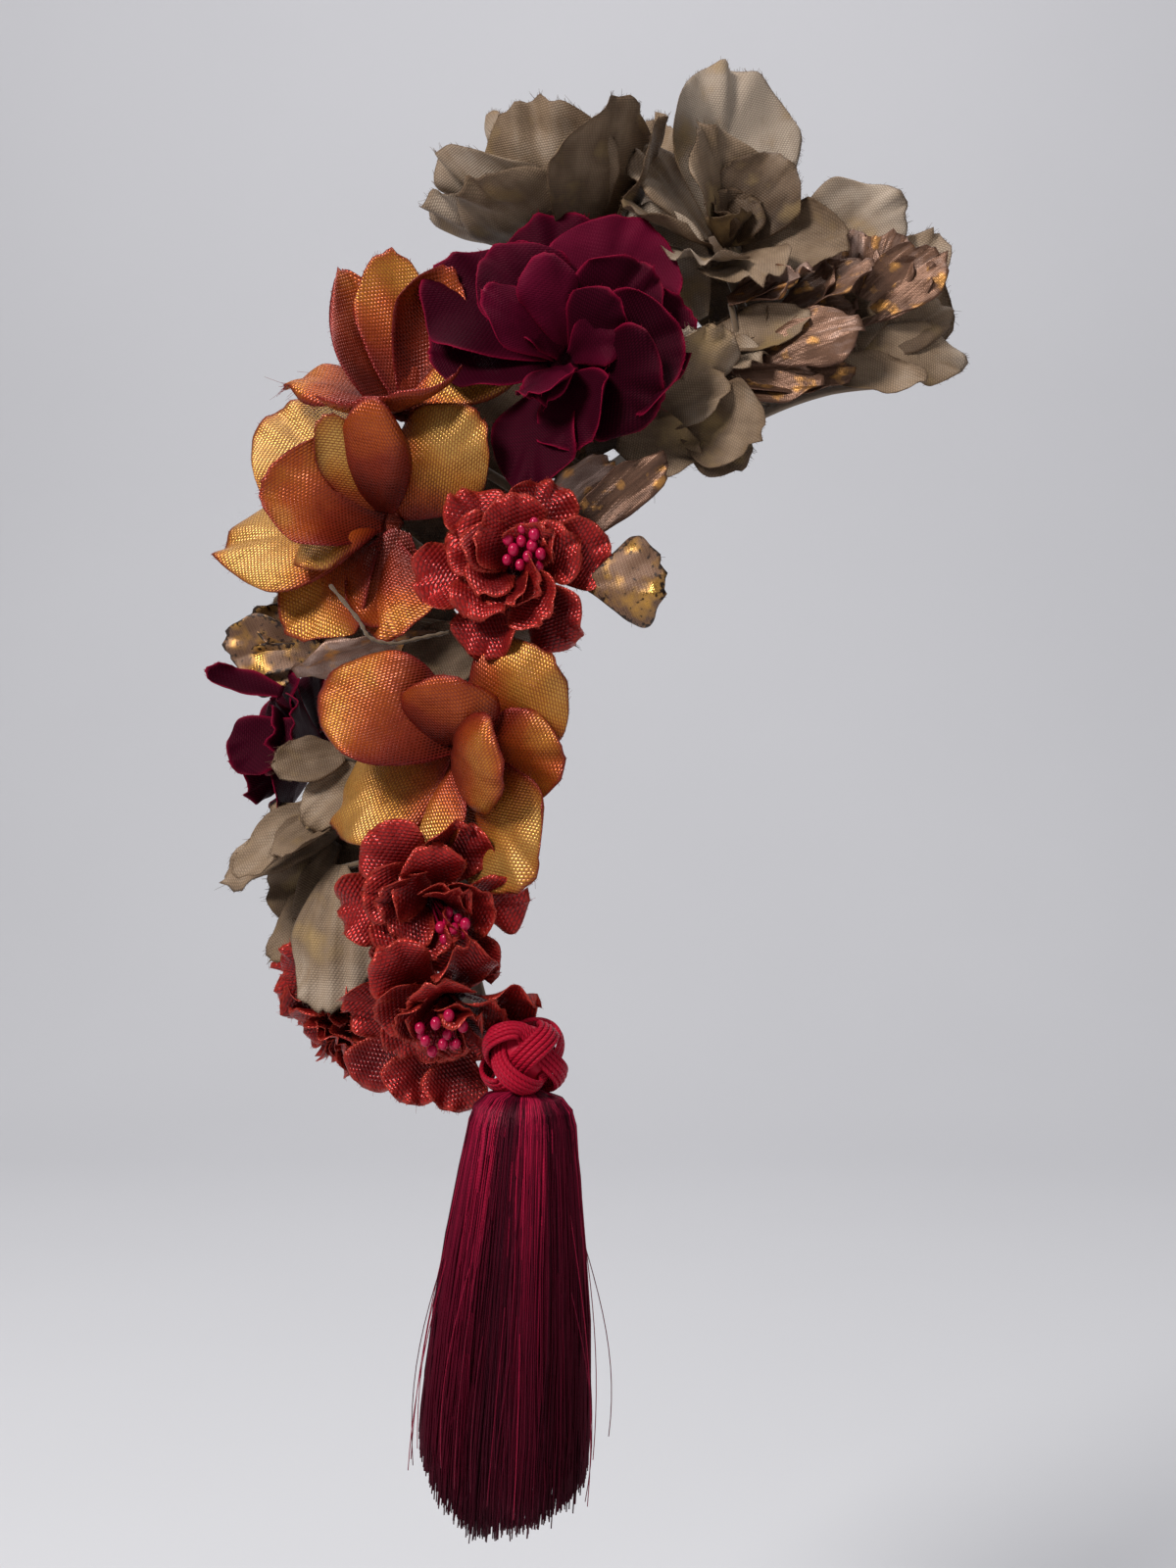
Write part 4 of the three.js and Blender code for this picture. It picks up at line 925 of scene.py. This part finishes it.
def make_skirt():
    """The tassel's threads, hung round a core and cut to uneven ends."""
    build = Build()
    rng = np.random.default_rng(41)
    place = turned((0, 1, 0), SKIRT["lean"])
    place[:3, 3] = (KNOT["centre"][0], KNOT["centre"][1], SKIRT["top"])
    count, rings = STRANDS["count"], len(STRANDS["stations"])
    turn = rng.uniform(0, 2 * math.pi, count)
    locks = len(LOCK_ENDS)
    lock = turn / (2 * math.pi) * locks
    ends = np.interp(lock, np.arange(locks + 1), list(LOCK_ENDS) + [LOCK_ENDS[0]]) - SKIRT["top"]
    ends += STRANDS["short"] + rng.normal(0, STRANDS["uneven"], count)
    inner = np.arange(count) < STRANDS["inner"]
    depth = np.where(inner, rng.uniform(0.25, 0.8, count), 1 - rng.gamma(2.0, 0.03, count))
    clump_turn = 2 * math.pi / STRANDS["clumps"]
    clump = np.round(turn / clump_turn + rng.normal(0, 0.25, count)) * clump_turn
    u = np.array(STRANDS["stations"])[None]
    gather = STRANDS["gather"] * np.sin(math.pi * u) ** 2
    bearing = turn[:, None] * (1 - gather) + clump[:, None] * gather
    bearing = bearing + rng.normal(0, 0.05, (count, 1)) * u + rng.normal(0, 0.012, (count, rings))
    from_top = np.clip(u / STRANDS["shoulder"], 0, 1)
    shoulder = np.sqrt(from_top * (2 - from_top)) * (1 - STRANDS["neck"]) + STRANDS["neck"]
    out = skirt_radius(u) * depth[:, None] * shoulder + rng.normal(0, 0.12, (count, rings))
    level = ends[:, None] * u + STRANDS["crest"] * (1 - from_top)
    path = round_axis(out, bearing, level)
    # Tone of each thread, set by its clump: partly the threads' own uneven colour, partly painted sheen on
    # some clumps and painted shade on others
    tone = np.clip(0.5 + 0.34 * np.sin(clump * 5.3) + rng.normal(0, 0.17, count), 0, 1)
    add_strands(build, place, path, bearing, tone)
    add_painted_shade_core(build, place)
    add_strays(build, place, rng)
    piece = build.finish("tassel_threads", [MATERIALS["thread"]])
    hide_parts("tassel_skirt")


def add_strands(build, place, path, bearing, tone):
    """Thin threads with three sides, one for each path."""
    count, rings = path.shape[:2]
    out = round_axis(1, bearing, 0)
    round_way = round_axis(1, bearing + math.pi / 2, 0)
    taper = np.linspace(1, STRANDS["taper"], rings)[None, :, None, None] * STRANDS["radius"]
    points = (path[:, :, None] + rings_of(out, round_way, 3) * taper).reshape(-1, 3)
    quads, *ends = tube_faces(rings, 3)
    step = np.arange(count)[:, None, None] * rings * 3
    faces = [(group[None] + step).reshape(-1, group.shape[1]) for group in (quads, *ends)]
    run = np.broadcast_to(np.array(STRANDS["stations"])[None, :, None] * 100, (count, rings, 3))
    uv = np.stack([run, np.broadcast_to(tone[:, None, None] * 50, run.shape)], -1).reshape(-1, 2)
    # The threads darken towards their ends: painted shade over the lower part of the tassel
    fall = 1 - STRANDS["fall"] * np.array(STRANDS["stations"])
    build.add(moved(place, points), faces, uv, np.repeat((tone[:, None] * fall).ravel(), 3))


def add_painted_shade_core(build, place):
    """A bundle inside the outer threads, so that no light passes between them; its dark tone is painted
    shade.
    """
    u = np.linspace(0, 1, CORE["rows"])
    turn = directions(CORE["columns"])
    out = skirt_radius(u) * CORE["share"] * np.where(u == 0, CORE["top"], 1)
    level = np.where(u == 1, 0.99, u) * (max(LOCK_ENDS) + CORE["short"] - SKIRT["top"])
    ridge = 1 + CORE["ridge"] * np.cos(turn * CORE["ridges"])
    add_round(build, place, out[:, None] * ridge, level, CORE["tone"])


def add_strays(build, place, rng):
    """A few loose threads that swing clear of the skirt."""
    for _ in range(STRAYS["count"]):
        turn = rng.uniform(0, 2 * math.pi)
        start = rng.uniform(*STRAYS["start"])
        u = np.linspace(start, rng.uniform(*STRAYS["end"]), STRAYS["points"])
        reach = rng.uniform(*STRAYS["reach"])
        arc = (u - start) / (u[-1] - start) * math.pi * rng.uniform(*STRAYS["arc"])
        out = skirt_radius(u) + reach * np.sin(arc)
        bearing = turn + rng.uniform(*STRAYS["drift"]) * (u - start)
        level = u * (STRAYS["end_level"] - SKIRT["top"])
        path = round_axis(out, bearing, level)
        add_tube(build, moved(place, path), STRAYS["radius"], 4, rng.uniform(*STRAYS["tone"]))


def make_stamens(flower):
    """Beads on fine threads that stand out of a flower's middle."""
    name, centre, turn, lift = flower[:4]
    shape = STAMENS[name]
    build = Build()
    rng = np.random.default_rng(seed_of(name))
    place = flower_place(centre, turn, lift)
    for k in range(shape["count"]):
        bearing = k * BEAD_TURN
        reach = shape["spread"] * math.sqrt((k + 0.5) / shape["count"])
        tip = np.array([
            shape["lean"][0] + reach * math.cos(bearing),
            shape["lean"][1] + reach * math.sin(bearing),
            shape["height"] * rng.uniform(0.75, 1.05)])
        root = np.array([0.8 * math.cos(bearing), 0.8 * math.sin(bearing), 0.5])
        s = np.linspace(0, 1, 7)[:, None]
        path = root + (tip - root) * np.concatenate([s**1.4, s**1.4, s], 1)
        add_tube(build, moved(place, path), BEAD["thread"], 5, 0.2)
        add_ball(build, moved(place, tip), BEAD["radius"] * rng.uniform(0.85, 1.1), 0.6, BEAD["tall"])
    piece = build.finish(name + "_stamens", [MATERIALS["bead"]])


class Value:
    """A value in a material's graph. Arithmetic with it adds the math nodes."""

    def __init__(self, graph, socket):
        self.graph, self.socket = graph, socket

    def __add__(self, other):
        return self.graph.calc("ADD", self, other)

    def __sub__(self, other):
        return self.graph.calc("SUBTRACT", self, other)

    def __rsub__(self, other):
        return self.graph.calc("SUBTRACT", other, self)

    def __mul__(self, other):
        return self.graph.calc("MULTIPLY", self, other)

    def __pow__(self, other):
        return self.graph.calc("POWER", self, other)

    def clamped(self):
        self.socket.node.use_clamp = True
        return self


class Graph:
    """The nodes of one material."""

    def __init__(self, name):
        self.material = bpy.data.materials.new(name)
        self.material.use_nodes = True
        self.tree = self.material.node_tree

    def feed(self, socket, value):
        if isinstance(value, Value):
            self.tree.links.new(value.socket, socket)
        elif socket.type == "RGBA":
            socket.default_value = (*value, 1)
        else:
            socket.default_value = value

    def node(self, kind, inputs, output=0, **settings):
        """Adds a node with its settings and inputs, and gives one of its outputs."""
        node = self.tree.nodes.new(kind)
        for key, value in settings.items():
            setattr(node, key, value)
        for key, value in inputs.items():
            self.feed(node.inputs[key], value)
        return Value(self, node.outputs[output])

    def finish(self, inputs):
        """Feeds the surface and gives the material."""
        shader = self.tree.nodes["Principled BSDF"]
        for key, value in inputs.items():
            self.feed(shader.inputs[key], value)
        return self.material

    def calc(self, operation, first, second=0.0):
        return self.node("ShaderNodeMath", {0: first, 1: second}, operation=operation)

    def blend(self, share, first, second):
        inputs = {"Factor": share, "A": first, "B": second}
        return self.node("ShaderNodeMix", inputs, "Result", data_type="RGBA")

    def attribute(self, name):
        return self.node("ShaderNodeAttribute", {}, "Fac", attribute_name=name)

    def ramp(self, value, stops):
        colour = self.node("ShaderNodeValToRGB", {"Fac": value}, "Color")
        bar = colour.socket.node.color_ramp.elements
        while len(bar) < len(stops):
            bar.new(0.5)
        for element, (place, stop) in zip(bar, stops):
            element.position = place
            element.color = (*stop, 1)
        return colour

    def noise(self, scale, detail, stretch=(1, 1, 1), coordinates="UV"):
        place = self.node("ShaderNodeTexCoord", {}, coordinates)
        sized = self.node("ShaderNodeMapping", {"Vector": place, "Scale": stretch})
        return self.node("ShaderNodeTexNoise", {"Vector": sized, "Scale": scale, "Detail": detail}, "Fac")

    def cloth_axes(self):
        """The two ways along the cloth, in millimetres."""
        place = self.node("ShaderNodeTexCoord", {}, "UV")
        parts = self.node("ShaderNodeSeparateXYZ", {0: place})
        return [Value(self, output) for output in parts.socket.node.outputs[:2]]

    def weave(self, pitch, run=2.2):
        """Twill: the height of the cloth, how far a thread is on top, and a value for each float of it."""
        across, along = self.cloth_axes()
        x = across * (1 / pitch)
        row = self.calc("FLOOR", x)
        y = along * (1 / (pitch * run)) + row * 0.37
        crest_x, crest_y = (self.calc("ABSOLUTE", self.calc("SINE", way * math.pi)) for way in (x, y))
        height = crest_x**1.1 * crest_y**0.7
        crossing = self.node("ShaderNodeCombineXYZ", {0: row, 1: self.calc("FLOOR", y)})
        cell = self.node("ShaderNodeTexWhiteNoise", {"Vector": crossing}, "Value", noise_dimensions="2D")
        return height, (height * 1.2).clamped(), cell

    def bump(self, height, strength, depth, **under):
        inputs = {"Height": height, "Strength": strength, "Distance": depth * MM, **under}
        return self.node("ShaderNodeBump", inputs, "Normal")

    def cloth_bump(self, height, coarse, fine_depth, coarse_depth):
        return self.bump(height, 0.7, fine_depth, Normal=self.bump(coarse, 0.6, coarse_depth))

    def petal_tone(self, cloud, mottle, edge_shift):
        """The petal's own tone, mottled and carried towards its edge colour."""
        mottled = (cloud - 0.5) * mottle
        shift = (self.attribute("edge") ** 0.35 - 0.3) * edge_shift
        return (self.attribute("tone") + (mottled + shift)).clamped()

    def rimmed(self, body, colour, power, weight):
        """The cloth with its cut edge in another colour, which on the wine and red cloth also stands for a
        painted highlight along the rim.
        """
        return self.blend(self.attribute("edge") ** power * weight, body, colour)


def wine_material():
    graph = Graph("wine_satin")
    height, top, _ = graph.weave(0.55)
    cloud = graph.noise(0.09, 4)
    # Edges lighter than the body: partly the cut edge's own crimson, partly a painted highlight along the
    # rims
    body = graph.ramp(graph.petal_tone(cloud, 0.6, -0.2), WINE_STOPS)
    threads = graph.blend(top * 0.35, body, (0.07, 0.003, 0.014))
    return graph.finish({
        # Bright crimson rim: partly the cut edge's own colour, partly a painted highlight along the rims
        "Base Color": graph.rimmed(threads, (0.25, 0.005, 0.030), 4.0, 0.8),
        "Roughness": 0.5,
        "Specular IOR Level": 0.07,
        "Specular Tint": (1.0, 0.25, 0.35),
        "Sheen Weight": 0.02,
        "Sheen Roughness": 0.4,
        "Sheen Tint": (0.7, 0.08, 0.22),
        "Normal": graph.cloth_bump(height, cloud, 0.12, 0.6),
    })


def lame_material(name, stops, weft, edge_colour, pitch, shine, edge_shift):
    """Metallic cloth: a bright warp over a dull weft, each float of it a little rougher or smoother."""
    graph = Graph(name)
    height, top, cell = graph.weave(pitch, 1.5)
    cloud = graph.noise(0.1, 4)
    body = graph.ramp(graph.petal_tone(cloud, 0.6, edge_shift), stops)
    threads = graph.blend((1.0 - top) * 0.85, body, weft)
    surface = graph.cloth_bump(height * (cell * 0.5 + 0.7), cloud, 0.26 * pitch, 0.5)
    return graph.finish({
        "Base Color": graph.rimmed(threads, edge_colour, 1.6, 0.9),
        "Metallic": top * shine,
        "Roughness": cell * -0.22 + 0.46,
        "Specular IOR Level": 0.1,
        "Coat Weight": 0.3,
        "Coat Roughness": 0.3,
        "Normal": surface,
        "Coat Normal": surface,
    })


def copper_material():
    """Creased satin that shifts from rose silver to dark copper, with orange glints painted into its colour.
    """
    graph = Graph("copper_lame")
    height, top, _ = graph.weave(0.45)
    cloud = graph.noise(0.16, 4)
    streak = graph.noise(0.6, 3, (0.2, 1.4, 1))
    body = graph.ramp(graph.petal_tone(cloud * 0.5 + streak * 0.5, 1.6, 0.3), COPPER_STOPS)
    threads = graph.blend((1.0 - top) * 0.3, body, (0.10, 0.045, 0.028))
    # Painted glints: bright orange specks that stand for reflections, and a little more metallic there
    painted_glint = ((cloud - 0.56) * 8.0).clamped()
    gilded = graph.blend(painted_glint * 0.8, threads, (0.80, 0.38, 0.10))
    return graph.finish({
        "Base Color": graph.rimmed(gilded, (0.085, 0.034, 0.018), 2.0, 0.8),
        "Metallic": painted_glint * 0.3 + 0.5,
        "Roughness": streak * 0.25 + 0.33,
        "Normal": graph.cloth_bump(height, streak, 0.06, 0.7),
    })


def taupe_material():
    graph = Graph("taupe_silk")
    height, top, _ = graph.weave(0.6, 1.2)
    cloud = graph.noise(0.07, 5)
    streak = graph.noise(0.5, 3, (0.15, 1.3, 1))
    mixed = cloud * 0.85 + streak * 0.15
    body = graph.ramp(graph.petal_tone(mixed, 1.6, 0.12), TAUPE_STOPS)
    ground = graph.blend(0.5, body, (0.03, 0.018, 0.011))
    threads = graph.blend(top, ground, body)
    # Warm patches: painted light, standing for light through the thin cloth and its sheen; the same mask
    # makes them a little metallic
    painted_light_patch = ((cloud - 0.55) * 5.0).clamped()
    gilded = graph.blend(painted_light_patch * 0.6, threads, (0.48, 0.32, 0.14))
    return graph.finish({
        "Base Color": graph.rimmed(gilded, (0.085, 0.045, 0.022), 3.0, 0.65),
        "Metallic": painted_light_patch * 0.4,
        "Roughness": cloud * 0.3 + 0.42,
        "Specular IOR Level": 0.22,
        "Sheen Weight": 0.05,
        "Sheen Tint": (0.8, 0.65, 0.5),
        "Normal": graph.cloth_bump(height, mixed, 0.13, 0.9),
    })


def gilded_material():
    graph = Graph("gilded_cloth")
    height, top, _ = graph.weave(0.45)
    cloud = graph.noise(0.16, 4)
    cloth = graph.blend(top, (0.12, 0.055, 0.028), (0.21, 0.11, 0.06))
    leaf = ((cloud - 0.47) * 5.0).clamped()
    gilded = graph.blend(leaf, cloth, (0.50, 0.26, 0.06))
    spots = graph.noise(0.75, 2) + graph.attribute("edge") * 0.25
    burnt = ((spots - 0.62) * 12.0).clamped()
    return graph.finish({
        "Base Color": graph.blend(burnt, gilded, (0.03, 0.014, 0.008)),
        "Metallic": leaf * 0.6 + 0.25,
        "Roughness": leaf * -0.25 + 0.48,
        "Normal": graph.cloth_bump(height, cloud, 0.08, 0.9),
    })


def thread_material(name, dark, mid, bright, twist, depth):
    """Silk thread: a colour for each strand, with a fine twist along it."""
    graph = Graph(name)
    along, across = graph.cloth_axes()
    wave = graph.calc("SINE", (along + across * 1.3) * (2 * math.pi / twist))
    body = graph.ramp(graph.attribute("tone"), [(0.0, dark), (0.5, mid), (1.0, bright)])
    return graph.finish({
        "Base Color": graph.blend(wave * 0.12 + 0.14, body, dark),
        "Roughness": 0.42,
        "Specular IOR Level": 0.25,
        "Specular Tint": (1.0, 0.25, 0.35),
        "Sheen Weight": 0.08,
        "Sheen Tint": (0.9, 0.15, 0.3),
        "Normal": graph.bump(wave, 0.5, depth),
    })


def felt_material(name, dark, light):
    graph = Graph(name)
    fibre = graph.noise(1.6, 6)
    body = graph.blend(graph.noise(0.12, 3), dark, light)
    return graph.finish({
        "Base Color": graph.blend(fibre * 0.5, body, light),
        "Roughness": 0.95,
        "Sheen Weight": 0.3,
        "Normal": graph.bump(fibre, 0.6, 0.25),
    })


def bead_material():
    graph = Graph("stamen_bead")
    cloud = graph.noise(400.0, 2, coordinates="Object")
    tone = graph.attribute("tone") + (cloud - 0.5) * 0.3
    return graph.finish({
        "Base Color": graph.ramp(tone, BEAD_STOPS),
        "Roughness": 0.22,
        "Specular Tint": (1.0, 0.6, 0.68),
    })


def stage_material():
    graph = Graph("pale_paper")
    cloud = graph.noise(3.0, 2, coordinates="Object")
    return graph.finish({
        "Base Color": graph.blend(cloud, (0.60, 0.60, 0.62), (0.63, 0.63, 0.65)),
        "Roughness": 0.9,
    })


WINE_STOPS = [(0.0, (0.10, 0.004, 0.019)), (0.45, (0.020, 0.0008, 0.0045)), (1.0, (0.004, 0.0003, 0.0014))]
AMBER_STOPS = [
    (0.0, (0.60, 0.34, 0.075)),
    (0.22, (0.58, 0.24, 0.03)),
    (0.45, (0.44, 0.085, 0.008)),
    (0.7, (0.23, 0.024, 0.005)),
    (1.0, (0.06, 0.005, 0.003)),
]
RED_STOPS = [(0.0, (0.48, 0.016, 0.014)), (0.5, (0.19, 0.005, 0.006)), (1.0, (0.03, 0.001, 0.002))]
COPPER_STOPS = [(0.0, (0.40, 0.27, 0.22)), (0.4, (0.21, 0.105, 0.062)), (1.0, (0.045, 0.02, 0.010))]
TAUPE_STOPS = [
    (0.0, (0.46, 0.36, 0.275)),
    (0.35, (0.29, 0.197, 0.125)),
    (0.7, (0.135, 0.083, 0.048)),
    (1.0, (0.042, 0.024, 0.014)),
]
BEAD_STOPS = [(0.1, (0.14, 0.003, 0.016)), (0.7, (0.45, 0.006, 0.055))]
CORD_TONES = [(0.08, 0.002, 0.007), (0.38, 0.005, 0.022), (0.55, 0.013, 0.04)]
# Thread colours from dark to bright; the bright end partly stands for painted sheen on the skirt
THREAD_TONES = [(0.012, 0.0005, 0.0025), (0.10, 0.0025, 0.014), (0.52, 0.012, 0.058)]
MATERIALS = {
    "wine": wine_material(),
    "amber": lame_material(
        "amber_lame", AMBER_STOPS, (0.15, 0.014, 0.005), (0.17, 0.008, 0.008), 0.7, 0.72, 0.3),
    # Red lamé: its lighter edges and bright orange-red rim are partly the frayed edge's own colour, partly
    # painted glints along the rims
    "red": lame_material(
        "red_lame", RED_STOPS, (0.04, 0.001, 0.002), (0.38, 0.035, 0.02), 0.85, 0.75, -0.3),
    "taupe": taupe_material(),
    "copper": copper_material(),
    "gilded": gilded_material(),
    "cord": thread_material("silk_cord", *CORD_TONES, 1.1, 0.12),
    "thread": thread_material("silk_thread", *THREAD_TONES, 0.9, 0.03),
    "felt": felt_material("brown_felt", (0.15, 0.105, 0.073), (0.24, 0.175, 0.125)),
    "stalk": felt_material("wrapped_wire", (0.07, 0.045, 0.025), (0.15, 0.095, 0.055)),
    "bead": bead_material(),
}


def make_stage():
    """A pale floor that sweeps up into a plain backdrop, with room for views from behind."""
    back, floor, corner = STAGE["back"], STAGE["floor"], STAGE["corner"]
    profile = [(STAGE["near"], floor)]
    for angle in np.linspace(0, math.pi / 2, 13):
        profile.append((back - corner * (1 - math.sin(angle)), floor + corner * (1 - math.cos(angle))))
    profile.append((back, STAGE["top"]))
    points = [(side * STAGE["half_width"], y, z) for y, z in profile for side in (-1, 1)]
    faces = [(2 * k, 2 * k + 1, 2 * k + 3, 2 * k + 2) for k in range(len(profile) - 1)]
    mesh = bpy.data.meshes.new("backdrop")
    mesh.from_pydata(points, [], faces)
    mesh.polygons.foreach_set("use_smooth", [True] * len(faces))
    mesh.materials.append(stage_material())
    stage = bpy.data.objects.new("backdrop", mesh)
    bpy.context.scene.collection.objects.link(stage)


def add_light(name, place, target, size, power, colour):
    data = bpy.data.lights.new(name, "AREA")
    data.shape = "RECTANGLE"
    data.size, data.size_y = size
    data.energy = power
    data.color = colour
    light = bpy.data.objects.new(name, data)
    light.location = place
    x, y, z = np.array(target) - np.array(place)
    light.rotation_euler = (math.atan2(math.hypot(x, y), -z), 0, math.atan2(y, x) - math.pi / 2)
    light.visible_camera = False
    bpy.context.scene.collection.objects.link(light)


def make_lights():
    for name, values in LIGHTS.items():
        add_light(name, *values)
    world = bpy.data.worlds.new("soft_room")
    world.use_nodes = True
    for key, value in ROOM.items():
        world.node_tree.nodes["Background"].inputs[key].default_value = value
    bpy.context.scene.world = world


def make_camera():
    data = bpy.data.cameras.new("camera")
    data.sensor_fit = "VERTICAL"
    data.sensor_height = CAMERA["sensor"]
    data.lens = CAMERA["lens"]
    camera = bpy.data.objects.new("camera", data)
    camera.location = CAMERA["place"]
    camera.rotation_euler = (math.pi / 2, 0, 0)
    bpy.context.scene.collection.objects.link(camera)
    bpy.context.scene.camera = camera


bpy.context.scene.view_settings.view_transform = "Standard"
make_camera()
make_lights()
make_stage()
make_band()
for flower in FLOWERS:
    make_flower(*flower)
    if flower[0] in STAMENS:
        make_stamens(flower)
for leaf in LEAVES:
    make_leaf(*leaf)
for number, rear in enumerate(REAR_LEAVES):
    make_rear_leaf(number, *rear)
make_knot()
make_skirt()
